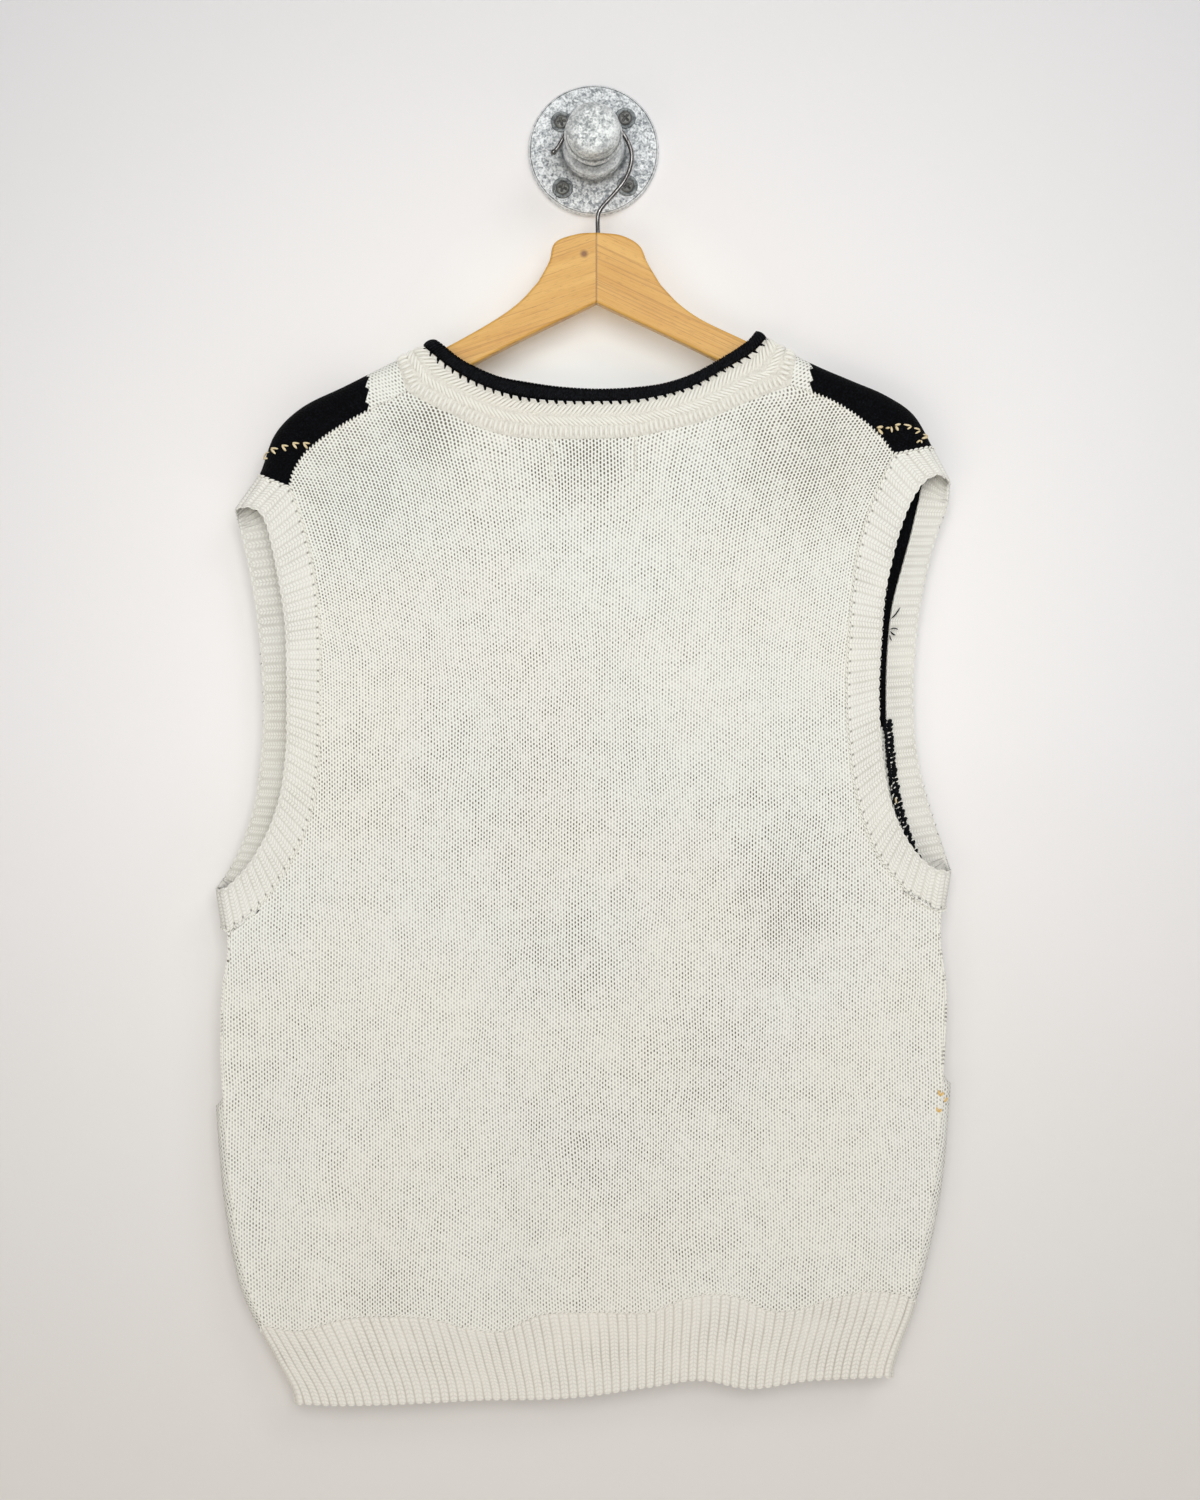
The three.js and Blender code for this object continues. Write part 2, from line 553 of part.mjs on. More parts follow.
// Front panel: each half is a flat patch up to just before the shoulder's turned edge,
// then a strip that goes over the shoulder to the seam on the back
const FRONT_SHARES = SHOULDER_SHARES;
const BELOW_V_ROWS = 18;
const FRONT_ARMHOLE_SHARES = [0, 0.018, 0.036, 0.055, 0.09, 0.16, 0.26, 0.37, 0.48, 0.59, 0.7, 0.81, 0.91, 1];
const PATCH_ROWS = SIDE_ROWS + FRONT_ARMHOLE_SHARES.length;
const TURN_START = 15;
const NECK_BEFORE_TURN = { left: { x: -131.5, z: -164 }, right: { x: 135.5, z: -160 } };
const FRONT_STRIP_SHARES = [0.35, 0.7, 1];
const FRONT_RIB_TOP = -787;
const FRONT_RIB_SAG = 4;
const BACK_STRIP_SHARES = [0.25, 0.5, 0.75, 1];

function outlineFoot(side, index) {
  const line = outlineLines[side];
  const low = Math.floor(index);
  const at = blend(line[low], line[Math.min(low + 1, line.length - 1)], index - low);
  return footOn(side, at.x, at.z);
}

function turnedEdgePoint(side, index, inside) {
  const foot = outlineFoot(side, index);
  const x = foot.foot.x + foot.inward.x * inside;
  return { x, z: foot.foot.z + foot.inward.z * inside, index, inside };
}

function nearestIndex(line, point) {
  let best = 0;
  line.forEach((candidate, index) => {
    if (spanBetween(candidate, point) < spanBetween(line[best], point)) best = index;
  });
  return best;
}

function towardsEdge(point) {
  return { x: point.x + point.inward.x * SEAM_GAP, z: point.z + point.inward.z * SEAM_GAP };
}

function frontHalf(side) {
  const half = CLOTH_THICKNESS / 2;
  const neckFold = { x: NECK_FRONT[side][0].seamX, z: NECK_FRONT[side][0].seamZ };
  const armFold = FRONT_ARMHOLE[side][0];
  const indexOf = (point) => nearestIndex(outlineLines[side], point);
  const turnedRow = (armEnd, neckEnd, inside) => FRONT_SHARES.map((share) => {
    return turnedEdgePoint(side, mix(indexOf(armEnd), indexOf(neckEnd), share), inside);
  });
  const turned = turnedRow(armFold, neckFold, half);
  const beforeTurn = turnedRow(FRONT_ARMHOLE[side][1], NECK_BEFORE_TURN[side], TURN_START);
  const seamEnd = seams.shoulder[side].map((point) => {
    return { index: indexOf(point), inside: flatten(point, -1, 1).inside + SEAM_GAP };
  });

  const sideLine = seams.side[side].map((point) => towardsEdge(flatten(point, -1, 1)));
  const underarm = FRONT_ARMHOLE[side][FRONT_ARMHOLE[side].length - 1];
  const underarmFold = turnedEdgePoint(side, indexOf(underarm), half);
  const armholeDown = FRONT_ARMHOLE[side].slice(1, -1).map((point) => flatten(point, 1, 1));
  const armhole = smoothLine([underarmFold, ...armholeDown.reverse(), beforeTurn[0]]);
  const armholeUp = FRONT_ARMHOLE_SHARES.map((share) => pointAt(armhole, share));
  const outer = [...sideLine, ...armholeUp];

  const point = NECK_FRONT[side][NECK_FRONT[side].length - 1];
  const innerLow = evenShares(BELOW_V_ROWS).map((share) => {
    return { x: point.seamX, z: mix(FRONT_RIB_TOP, point.seamZ, share ** 1.15) };
  });
  const leg = NECK_FRONT[side].slice(1).reverse().map((row) => {
    return flatten({ x: row.seamX, z: row.seamZ }, 1, 1);
  });
  const innerHigh = smoothLine([...leg, beforeTurn[beforeTurn.length - 1]], PATCH_ROWS - BELOW_V_ROWS);
  const inner = [...innerLow, ...innerHigh.slice(1)];

  const bottom = FRONT_SHARES.map((share, column) => {
    const even = mix(column / (FRONT_SHARES.length - 1), share, 0.75);
    const level = mix(outer[0].z, inner[0].z, even);
    return { x: mix(outer[0].x, inner[0].x, even), z: level - FRONT_RIB_SAG * Math.sin(even * Math.PI) };
  });
  const across = FRONT_SHARES.map((share, column) => mix(column / (FRONT_SHARES.length - 1), share, 0.75));
  const upward = outer.map((place, row) => {
    const first = (place.z - outer[0].z) / (outer[outer.length - 1].z - outer[0].z);
    const second = (inner[row].z - inner[0].z) / (inner[inner.length - 1].z - inner[0].z);
    return (first + second) / 2;
  });
  const rows = coonsPatch(bottom, beforeTurn, outer, inner, across, upward);
  const patch = rows.map((row) => row.map((place) => placeFlat(place.x, place.z, 1)));
  const overShoulder = (from, to, share) => from.map((place, column) => {
    const foot = outlineFoot(side, mix(place.index, to[column].index, share));
    return placeAlong(foot, mix(place.inside, to[column].inside, share), 1);
  });
  const strip = [
    ...FRONT_STRIP_SHARES.map((share) => overShoulder(beforeTurn, turned, share)),
    ...BACK_STRIP_SHARES.slice(0, -1).map((share) => overShoulder(turned, seamEnd, share)),
  ];
  const lastRow = seams.shoulder[side].map((point) => {
    const foot = footOf(point.x, point.z);
    const x = point.x - foot.inward.x * SEAM_GAP;
    const z = point.z - foot.inward.z * SEAM_GAP;
    return onLayer(x, z, -1, footOf(x, z));
  });
  return [...patch, ...strip, lastRow];
}

const frontRows = { left: frontHalf('left'), right: frontHalf('right') };

function addFrontPanel() {
  const points = [];
  const numbers = new Map();
  const quads = [];
  const numberOf = (side, row, column) => {
    const shared = column === FRONT_SHARES.length - 1 && row <= BELOW_V_ROWS;
    const key = shared ? `middle_${row}` : `${side}_${row}_${column}`;
    if (!numbers.has(key)) {
      numbers.set(key, points.length);
      points.push(frontRows[side][row][column]);
    }
    return numbers.get(key);
  };
  for (const side of ['left', 'right']) {
    for (let row = 0; row < frontRows[side].length - 1; row += 1) {
      for (let column = 0; column < FRONT_SHARES.length - 1; column += 1) {
        const quad = [
          numberOf(side, row, column),
          numberOf(side, row, column + 1),
          numberOf(side, row + 1, column + 1),
          numberOf(side, row + 1, column),
        ];
        quads.push(side === 'left' ? quad : quad.reverse());
      }
    }
  }
  addWall('front_panel', points, quads);
}

addFrontPanel();

// Bands that follow a ring of seam points: the ring is cut at its two turned edges and each part is paired
// with the opening's edge by length
function lineOnLayer(table, face, xName = 'x', zName = 'z') {
  const line = smoothLine(table, 240, xName, zName);
  return line.map((at) => onLayer(at.x, at.z, face, footOf(at.x, at.z)));
}

// Where a band starts: a seam's gap away from the line it follows, and a little more where that line
// turns an edge
function acrossStart(line, share, edge, columns) {
  const seam = pointAt(line, share);
  const before = pointAt(line, share - 1 / columns);
  const after = pointAt(line, share + 1 / columns);
  const turned = 1 - before.normal.dot(after.normal);
  const along = between(before, after).normalize();
  const across = between(seam, edge);
  const width = across.length();
  const square = Math.abs(along.cross(seam.normal).normalize().dot(across)) / width;
  const gap = SEAM_GAP + TURNED_SEAM_EXTRA * turned;
  return { ...blend(seam, edge, gap / (width * Math.max(square, 0.5))), normal: seam.normal };
}

// Even shares of a line's length, with the nearest one moved onto each of the line's own corners
function columnShares(line, count) {
  const lengths = [0];
  for (let index = 1; index < line.length; index += 1) {
    lengths.push(lengths[index - 1] + spanBetween(line[index - 1], line[index]));
  }
  const total = lengths[lengths.length - 1];
  const shares = evenShares(count);
  for (const length of lengths) shares[Math.round((length / total) * count)] = length / total;
  return shares;
}

function bandPoints(seamParts, edgeParts, columnsPerPart, rowShares, liftOf) {
  const rows = rowShares.map(() => []);
  let column = 0;
  seamParts.forEach((seamPart, index) => {
    for (const share of columnShares(seamPart, columnsPerPart[index]).slice(0, -1)) {
      const edge = pointAt(edgeParts[index], share);
      const start = acrossStart(seamPart, share, edge, columnsPerPart[index]);
      rowShares.forEach((rowShare, row) => {
        rows[row].push({ ...blend(start, edge, rowShare), lift: liftOf(column, row) });
      });
      column += 1;
    }
  });
  return rows;
}

function ribLift(column) {
  return column % 2 ? RIB_CREST_LIFT : RIB_TROUGH_LIFT;
}

// Arm bands: ribbed rings round the armholes
const STRIP_ROWS = FRONT_STRIP_SHARES.length;

function armBand(side) {
  const rows = frontRows[side];
  const column = (row) => rows[row][0];
  const foldRow = PATCH_ROWS + STRIP_ROWS;
  const backColumn = side === 'left' ? 0 : backRows[0].length - 1;
  const backPart = [column(SIDE_ROWS + 1), column(SIDE_ROWS)];
  for (let row = SIDE_ROWS; row < backRows.length; row += 1) backPart.push(backRows[row][backColumn]);
  for (let row = rows.length - 1; row >= foldRow; row -= 1) backPart.push(column(row));
  const frontPart = [];
  for (let row = foldRow; row > SIDE_ROWS; row -= 1) frontPart.push(column(row));
  const edgeParts = [lineOnLayer(BACK_ARM_EDGE[side], -1), lineOnLayer(FRONT_ARM_EDGE[side], 1)];
  const perPart = ARM_BAND_RIBS[side];
  const points = bandPoints([backPart, frontPart], edgeParts, [perPart, perPart], [0, 1], ribLift);
  addWall(`arm_band_${side}`, points.flat(), gridQuads(1, perPart * 2, true));
}

armBand('left');
armBand('right');

// Neck: a white band on the panels' neck seam, and a thick black trim on the band
function neckRing() {
  const last = FRONT_SHARES.length - 1;
  const foldRow = PATCH_ROWS + STRIP_ROWS;
  const innerOf = (side, row) => frontRows[side][row][last];
  const topRow = backRows[backRows.length - 1];
  const backPart = [];
  for (let row = foldRow; row < frontRows.left.length; row += 1) backPart.push(innerOf('left', row));
  for (let index = last; index < topRow.length - last; index += 1) backPart.push(topRow[index]);
  for (let row = frontRows.right.length - 1; row >= foldRow; row -= 1) backPart.push(innerOf('right', row));
  const rightPart = [];
  for (let row = foldRow; row >= BELOW_V_ROWS; row -= 1) rightPart.push(innerOf('right', row));
  const leftPart = [];
  for (let row = BELOW_V_ROWS; row <= foldRow; row += 1) leftPart.push(innerOf('left', row));
  return [backPart, rightPart, leftPart];
}

function neckLines(xName, zName) {
  const right = lineOnLayer(NECK_FRONT.right, 1, xName, zName);
  const left = lineOnLayer(NECK_FRONT.left, 1, xName, zName).reverse();
  return [lineOnLayer(NECK_BACK, -1, xName, zName), right, left];
}

const NECK_PARTS = [NECK_COLUMNS * 0.4, NECK_COLUMNS * 0.3, NECK_COLUMNS * 0.3].map(Math.round);
const neckTotal = NECK_PARTS[0] + NECK_PARTS[1] + NECK_PARTS[2];
const bandEdges = neckLines('bandX', 'bandZ');
const trimEdges = neckLines('trimX', 'trimZ');
const bandRows = bandPoints(neckRing(), bandEdges, NECK_PARTS, [0, 1], () => 0.2);
addWall('neck_band', bandRows.flat(), gridQuads(1, neckTotal, true));
const trimSeams = NECK_PARTS.map((count, index) => {
  const start = NECK_PARTS.slice(0, index).reduce((sum, value) => sum + value, 0);
  return Array.from({ length: count + 1 }, (_, step) => bandRows[1][(start + step) % neckTotal]);
});
const trimLift = (column, row) => (row === 1 ? 1 : 0.2);
const trimRows = bandPoints(trimSeams, trimEdges, NECK_PARTS, [0, 0.5, 1], trimLift);
addWall('neck_trim', trimRows.flat(), gridQuads(2, neckTotal, true));

// Hem ribs, back and front, hung from the panels' lower edges
const RIB_ROW_SHARES = [0, 0.5, 1];

function hemRib(name, topLine, flatTop, flatBottom, ends, place) {
  const columns = HEM_RIBS * 2;
  const rows = RIB_ROW_SHARES.map(() => []);
  columnShares(topLine, columns).forEach((share, column) => {
    const lift = column === 0 || column === columns ? 0 : ribLift(column);
    const from = pointAt(flatTop, share);
    const to = pointAt(flatBottom, share);
    const places = RIB_ROW_SHARES.map((rowShare, row) => {
      const leftPull = ends.left[row];
      const rightPull = ends.right[row];
      const startOff = blend(flatTop[0], flatBottom[0], rowShare);
      const endOff = blend(flatTop[flatTop.length - 1], flatBottom[flatBottom.length - 1], rowShare);
      const x = mix(leftPull.x - startOff.x, rightPull.x - endOff.x, share);
      const z = mix(leftPull.z - startOff.z, rightPull.z - endOff.z, share);
      return place(mix(from.x, to.x, rowShare) + x, mix(from.z, to.z, rowShare) + z);
    });
    rows[0].push({ ...acrossStart(topLine, share, places[1], columns), lift });
    rows[1].push({ ...places[1], lift });
    rows[2].push({ ...places[2], lift });
  });
  addWall(name, rows.flat(), gridQuads(RIB_ROW_SHARES.length - 1, columns, false));
}

function ribSeam(side) {
  const fromZ = seams.side[side][0].z;
  const edge = side === 'left' ? HEM_EDGE[0] : HEM_EDGE[HEM_EDGE.length - 1];
  return RIB_ROW_SHARES.map((share) => {
    return outlineInset(side, mix(fromZ, edge.z, share), SIDE_SEAM_INSET + CLOTH_THICKNESS / 2);
  });
}

const ribSeams = { left: ribSeam('left'), right: ribSeam('right') };
const hemLine = smoothLine(HEM_EDGE, 200);
const backHem = evenShares(80).map((share) => {
  const x = mix(ribSeams.left[2].x, ribSeams.right[2].x, share);
  return { x, z: heightOnTable(hemLine, x) };
});
const backTopFlat = backRows[0].map((point) => ({ x: point.x, z: point.z }));
const onBack = (x, z) => onLayer(x, z, -1, footOf(x, z));
hemRib('hem_rib_back', backRows[0], backTopFlat, backHem, ribSeams, onBack);

function flatSeam(side) {
  return ribSeams[side].map((point) => towardsEdge(flatten(point, -1, 1)));
}

const frontSeams = { left: flatSeam('left'), right: flatSeam('right') };
const frontHem = evenShares(80).map((share) => {
  const straight = blend(frontSeams.left[2], frontSeams.right[2], share);
  const rise = FRONT_HEM_RISE * smoothStep(Math.min(share, 1 - share), 0, 0.2);
  return { x: straight.x, z: straight.z + rise };
});
const frontTop = [...frontRows.left[0], ...[...frontRows.right[0]].reverse().slice(1)];
const frontTopFlat = evenShares(80).map((share) => {
  const at = pointAt(frontTop, share);
  const flat = flatten(at, at.y < middleDepth(at.z) ? -1 : 1, 1);
  return { x: flat.x, z: flat.z };
});
hemRib('hem_rib_front', frontTop, frontTopFlat, frontHem, frontSeams, (x, z) => placeFlat(x, z, 1));

// Hanger: two flat wooden halves that meet in the middle, and the wire hook
function hangerHalf(side) {
  const turn = side === 'left' ? -1 : 1;
  const shape = new THREE.Shape();
  HANGER_HALF[side].forEach((corner, index) => {
    const inset = corner.x === HANGER_MIDDLE_X ? (turn * SEAM_GAP) / 2 : 0;
    const x = corner.x + inset;
    if (index === 0) shape.moveTo(x, corner.z);
    else shape.lineTo(x, corner.z);
  });
  const options = {
    depth: HANGER_THICKNESS - 2 * HANGER_EDGE_ROUND,
    bevelEnabled: true,
    bevelThickness: HANGER_EDGE_ROUND,
    bevelSize: HANGER_EDGE_ROUND,
    bevelOffset: -HANGER_EDGE_ROUND,
    bevelSegments: 2,
    steps: 1,
  };
  const geometry = new THREE.ExtrudeGeometry(shape, options);
  geometry.rotateX(Math.PI / 2);
  geometry.translate(0, MID_DEPTH.shoulder + HANGER_THICKNESS / 2 - HANGER_EDGE_ROUND, 0);
  addMesh(`hanger_arm_${side}`, weld(geometry));
}

function weld(geometry) {
  const bare = geometry.index ? geometry.toNonIndexed() : geometry.clone();
  for (const attribute of ['normal', 'uv']) bare.deleteAttribute(attribute);
  return mergeVertices(bare, 1e-4);
}

hangerHalf('left');
hangerHalf('right');

function hangerHook() {
  const knots = HOOK_WIRE.map((row) => new THREE.Vector3(row.x, MID_DEPTH.shoulder, row.z));
  const curve = new THREE.CatmullRomCurve3(knots, false, 'centripetal');
  const sides = 7;
  const rings = 38;
  const positions = [];
  const triangles = [];
  for (let ring = 0; ring <= rings; ring += 1) {
    const centre = curve.getPointAt(ring / rings);
    const along = curve.getTangentAt(ring / rings);
    for (let side = 0; side < sides; side += 1) {
      const angle = (side / sides) * 2 * Math.PI;
      const outX = -along.z * Math.cos(angle) * WIRE_RADIUS;
      const outZ = along.x * Math.cos(angle) * WIRE_RADIUS;
      positions.push(centre.x + outX, centre.y + Math.sin(angle) * WIRE_RADIUS, centre.z + outZ);
    }
  }
  for (let ring = 0; ring < rings; ring += 1) {
    for (let side = 0; side < sides; side += 1) {
      const a = ring * sides + side;
      const b = ring * sides + ((side + 1) % sides);
      triangles.push(a, a + sides, b, b, a + sides, b + sides);
    }
  }
  for (let side = 1; side < sides - 1; side += 1) {
    const end = rings * sides;
    triangles.push(0, side, side + 1, end, end + side + 1, end + side);
  }
  const geometry = new THREE.BufferGeometry();
  geometry.setAttribute('position', new THREE.Float32BufferAttribute(positions, 3));
  geometry.setIndex(triangles);
  addMesh('hanger_hook', geometry);
}

hangerHook();

// Turned parts of the wall hook: rows of radius and distance out from the wall
function addTurned(name, profile, segments, x = 0, z = 0) {
  const points = profile.map((row) => new THREE.Vector2(row.radius, row.out));
  const geometry = new THREE.LatheGeometry(points, segments);
  geometry.rotateX(Math.PI);
  geometry.translate(x, 0, z);
  addMesh(name, weld(geometry));
}

addTurned('wall_flange', [
  { radius: 0, out: 0 },
  { radius: FLANGE.radius, out: 0 },
  { radius: FLANGE.radius, out: FLANGE.plate - 1 },
  { radius: FLANGE.radius - 1, out: FLANGE.plate },
  { radius: FLANGE.hubRadius + 1, out: FLANGE.plate },
  { radius: FLANGE.hubRadius + 0.3, out: FLANGE.plate + 1 },
  { radius: FLANGE.hubRadius, out: FLANGE.hubHeight - 1.2 },
  { radius: FLANGE.hubRadius - 1.2, out: FLANGE.hubHeight },
  { radius: FLANGE.boreRadius, out: FLANGE.hubHeight },
  { radius: FLANGE.boreRadius, out: FLANGE.hubHeight - FLANGE.boreDepth },
  { radius: 0, out: FLANGE.hubHeight - FLANGE.boreDepth },
], 32);
addTurned('pipe_nipple', [
  { radius: 0, out: NIPPLE.start },
  { radius: NIPPLE.radius, out: NIPPLE.start },
  { radius: NIPPLE.radius, out: NIPPLE.end - 1 },
  { radius: NIPPLE.radius - 1, out: NIPPLE.end },
  { radius: 0, out: NIPPLE.end },
], 26);
addTurned('pipe_cap', [
  { radius: 0, out: CAP.boreEnd },
  { radius: FLANGE.boreRadius, out: CAP.boreEnd },
  { radius: FLANGE.boreRadius, out: CAP.back },
  { radius: CAP.radius - 0.8, out: CAP.back },
  { radius: CAP.radius, out: CAP.back + 1 },
  { radius: CAP.radius, out: CAP.back + 5 },
  { radius: CAP.radius - 1, out: CAP.back + 6.5 },
  { radius: CAP.radius - 1.6, out: CAP.front - 7 },
  { radius: CAP.radius - 3, out: CAP.front - 3.6 },
  { radius: CAP.radius - 6.6, out: CAP.front - 1 },
  { radius: 0, out: CAP.front },
], 28);
SCREW_PLACES.forEach((place, index) => {
  const base = FLANGE.plate + 0.05;
  addTurned(`wall_screw_${index + 1}`, [
    { radius: 0, out: base },
    { radius: SCREW.washerRadius, out: base },
    { radius: SCREW.washerRadius - 0.6, out: base + SCREW.washerHeight },
    { radius: SCREW.headRadius, out: base + SCREW.washerHeight },
    { radius: SCREW.headRadius - 1.2, out: base + SCREW.washerHeight + SCREW.headHeight },
    { radius: 0, out: base + SCREW.washerHeight + SCREW.headHeight },
  ], 12, place.x, place.z);
});

export default part;
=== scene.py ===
import math

import bmesh
import bpy
import numpy as np
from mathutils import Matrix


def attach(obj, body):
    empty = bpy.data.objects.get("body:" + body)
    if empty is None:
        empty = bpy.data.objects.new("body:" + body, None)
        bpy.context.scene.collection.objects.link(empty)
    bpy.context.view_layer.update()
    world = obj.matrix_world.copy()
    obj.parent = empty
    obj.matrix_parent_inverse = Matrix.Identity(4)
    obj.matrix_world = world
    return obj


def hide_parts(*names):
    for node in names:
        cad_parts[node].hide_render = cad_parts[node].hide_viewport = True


# Knitted sweater vest on a wooden hanger, hung with its back to the viewer on a pipe-flange wall hook.
# The file goes from the wall outwards: room, wall hook, hanger, then the vest piece by piece.
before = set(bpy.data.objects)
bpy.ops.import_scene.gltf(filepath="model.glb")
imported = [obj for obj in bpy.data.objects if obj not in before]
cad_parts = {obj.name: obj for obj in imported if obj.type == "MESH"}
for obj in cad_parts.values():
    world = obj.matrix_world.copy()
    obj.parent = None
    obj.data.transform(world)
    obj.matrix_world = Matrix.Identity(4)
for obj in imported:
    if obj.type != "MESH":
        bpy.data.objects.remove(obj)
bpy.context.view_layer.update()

# Camera: straight on to the wall, at the height of the vest's chest, about one and a half metres away.
camera_data = bpy.data.cameras.new("camera")
camera_data.sensor_width = 36
camera_data.lens = 53.73
camera = bpy.data.objects.new("camera", camera_data)
camera.location = (0.0044, -1.530, -0.4088)
camera.rotation_euler = (math.radians(90), 0, 0)
bpy.context.scene.collection.objects.link(camera)
bpy.context.scene.camera = camera

# Room: a painted plaster wall that the hook is screwed to and a plain pale floor below. A wide soft light
# stands by the camera, a little to its right, with a weak window above and a warm bounce from the floor.
WALL_PAINT = (0.925, 0.91, 0.90, 1)
FLOOR_PAINT = (0.78, 0.775, 0.765, 1)
FLOOR_LEVEL = -1.35


def wire(tree, value, socket):
    """Links an output to a socket, or sets the socket to a plain value."""
    if isinstance(value, bpy.types.NodeSocket):
        tree.links.new(value, socket)
    else:
        socket.default_value = value


def maths(tree, operation, *values):
    node = tree.nodes.new("ShaderNodeMath")
    node.operation = operation
    for value, socket in zip(values, node.inputs):
        wire(tree, value, socket)
    return node.outputs[0]


def vectors(tree, operation, *values):
    node = tree.nodes.new("ShaderNodeVectorMath")
    node.operation = operation
    for value, socket in zip(values, node.inputs):
        wire(tree, value, socket)
    return node.outputs["Value" if operation in ("DOT_PRODUCT", "LENGTH") else "Vector"]


def ranged(tree, value, low, high, to_low=0.0, to_high=1.0):
    node = tree.nodes.new("ShaderNodeMapRange")
    for number, entry in enumerate((value, low, high, to_low, to_high)):
        wire(tree, entry, node.inputs[number])
    return node.outputs[0]


def mixed(tree, share, first, second):
    node = tree.nodes.new("ShaderNodeMix")
    node.data_type = "RGBA"
    wire(tree, share, node.inputs[0])
    wire(tree, first, node.inputs[6])
    wire(tree, second, node.inputs[7])
    return node.outputs[2]


def noise(tree, vector, scale, detail=2.0):
    node = tree.nodes.new("ShaderNodeTexNoise")
    wire(tree, vector, node.inputs["Vector"])
    wire(tree, scale, node.inputs["Scale"])
    wire(tree, detail, node.inputs["Detail"])
    return node.outputs["Fac"]


def split(tree, vector):
    node = tree.nodes.new("ShaderNodeSeparateXYZ")
    wire(tree, vector, node.inputs[0])
    return node.outputs


def bumped(tree, shader, height, strength, distance):
    node = tree.nodes.new("ShaderNodeBump")
    node.inputs["Strength"].default_value = strength
    node.inputs["Distance"].default_value = distance
    wire(tree, height, node.inputs["Height"])
    tree.links.new(node.outputs[0], shader.inputs["Normal"])


def new_material(name, roughness, **sockets):
    """A Principled material; returns it with its tree, its shader and its object coordinates."""
    material = bpy.data.materials.new(name)
    material.use_nodes = True
    tree = material.node_tree
    shader = tree.nodes["Principled BSDF"]
    shader.inputs["Roughness"].default_value = roughness
    for label, value in sockets.items():
        shader.inputs[label.replace("_", " ")].default_value = value
    places = tree.nodes.new("ShaderNodeTexCoord").outputs["Object"]
    return material, tree, shader, places


def mesh_object(name, vertices, faces, material, smooth=True):
    mesh = bpy.data.meshes.new(name)
    mesh.from_pydata(vertices, [], faces)
    if smooth:
        mesh.shade_smooth()
    mesh.materials.append(material)
    thing = bpy.data.objects.new(name, mesh)
    bpy.context.scene.collection.objects.link(thing)
    return thing


wall_paint, tree, shader, places = new_material("wall_paint", 0.85)
mottle = noise(tree, places, 3.0, 3.0)
tone = mixed(tree, ranged(tree, mottle, 0.35, 0.7), (0.905, 0.89, 0.885, 1), WALL_PAINT)
# Painted light and shade on the wall: darker away from a point behind the vest's middle, lighter behind the
# neck where the hanger's shade falls, and darker and warmer towards the floor.
away = vectors(tree, "LENGTH", vectors(tree, "ADD", places, (0.0, 0.0, 0.34)))
tone = mixed(tree, ranged(tree, away, 0.22, 0.72), tone, (0.625, 0.625, 0.64, 1))
painted_light_behind_neck = vectors(tree, "LENGTH", vectors(tree, "ADD", places, (0.0, 0.0, 0.175)))
tone = mixed(tree, ranged(tree, painted_light_behind_neck, 0.06, 0.15, 1.0, 0.0), tone, (0.965, 0.995, 1.0, 1))
low = ranged(tree, split(tree, places)[2], -0.95, -0.4, 0.7, 0.0)
tree.links.new(mixed(tree, low, tone, (0.68, 0.64, 0.585, 1)), shader.inputs["Base Color"])
bumped(tree, shader, noise(tree, places, 260.0, 3.0), 0.12, 0.0008)
through = tree.nodes.new("ShaderNodeBsdfTransparent")
which = tree.nodes.new("ShaderNodeMixShader")
tree.links.new(tree.nodes.new("ShaderNodeNewGeometry").outputs["Backfacing"], which.inputs[0])
tree.links.new(shader.outputs[0], which.inputs[1])
tree.links.new(through.outputs[0], which.inputs[2])
tree.links.new(which.outputs[0], tree.nodes["Material Output"].inputs[0])
wall_corners = [(-3, 0.0006, FLOOR_LEVEL), (3, 0.0006, FLOOR_LEVEL), (3, 0.0006, 1.8), (-3, 0.0006, 1.8)]
room_wall = mesh_object("room_wall", wall_corners, [(0, 1, 2, 3)], wall_paint, False)
room_wall.visible_shadow = False

floor_paint, tree, shader, places = new_material("floor_paint", 0.6)
tone = mixed(tree, noise(tree, places, 2.0, 3.0), (0.75, 0.745, 0.735, 1), FLOOR_PAINT)
tree.links.new(tone, shader.inputs["Base Color"])
floor_corners = [(-3, -4, FLOOR_LEVEL), (3, -4, FLOOR_LEVEL), (3, 3, FLOOR_LEVEL), (-3, 3, FLOOR_LEVEL)]
room_floor = mesh_object("room_floor", floor_corners, [(0, 1, 2, 3)], floor_paint, False)


def soft_light(name, place, target, size, power, colour):
    lamp = bpy.data.lights.new(name, "AREA")
    lamp.color = colour
    lamp.shape = "RECTANGLE"
    lamp.size, lamp.size_y = size
    lamp.energy = power
    thing = bpy.data.objects.new(name, lamp)
    thing.location = place
    dx, dy, dz = (t - p for p, t in zip(place, target))
    thing.rotation_euler = (math.atan2(math.hypot(dx, dy), -dz), 0, math.atan2(dy, dx) - math.pi / 2)
    bpy.context.scene.collection.objects.link(thing)


soft_light("room_light", (0.15, -3.1, 0.3), (0, 0, -0.42), (1.9, 1.7), 51, (1.0, 0.995, 0.985))
soft_light("window_light", (1.3, -1.9, 1.3), (0, 0, -0.4), (1.1, 1.0), 10, (0.98, 0.99, 1.0))
soft_light("floor_bounce", (-0.9, -2.4, -1.1), (0, 0, -0.6), (1.6, 0.6), 7, (1.0, 0.88, 0.74))
soft_light("rear_light", (-0.6, 2.2, 0.6), (0, 0, -0.4), (1.6, 1.6), 14, (1.0, 1.0, 1.0))

world = bpy.data.worlds.new("room_air")
world.use_nodes = True
world.node_tree.nodes["Background"].inputs[0].default_value = (0.98, 0.985, 1.0, 1)
world.node_tree.nodes["Background"].inputs[1].default_value = 0.30
bpy.context.scene.world = world
bpy.context.scene.view_settings.view_transform = "Standard"
bpy.context.scene.view_settings.look = "None"

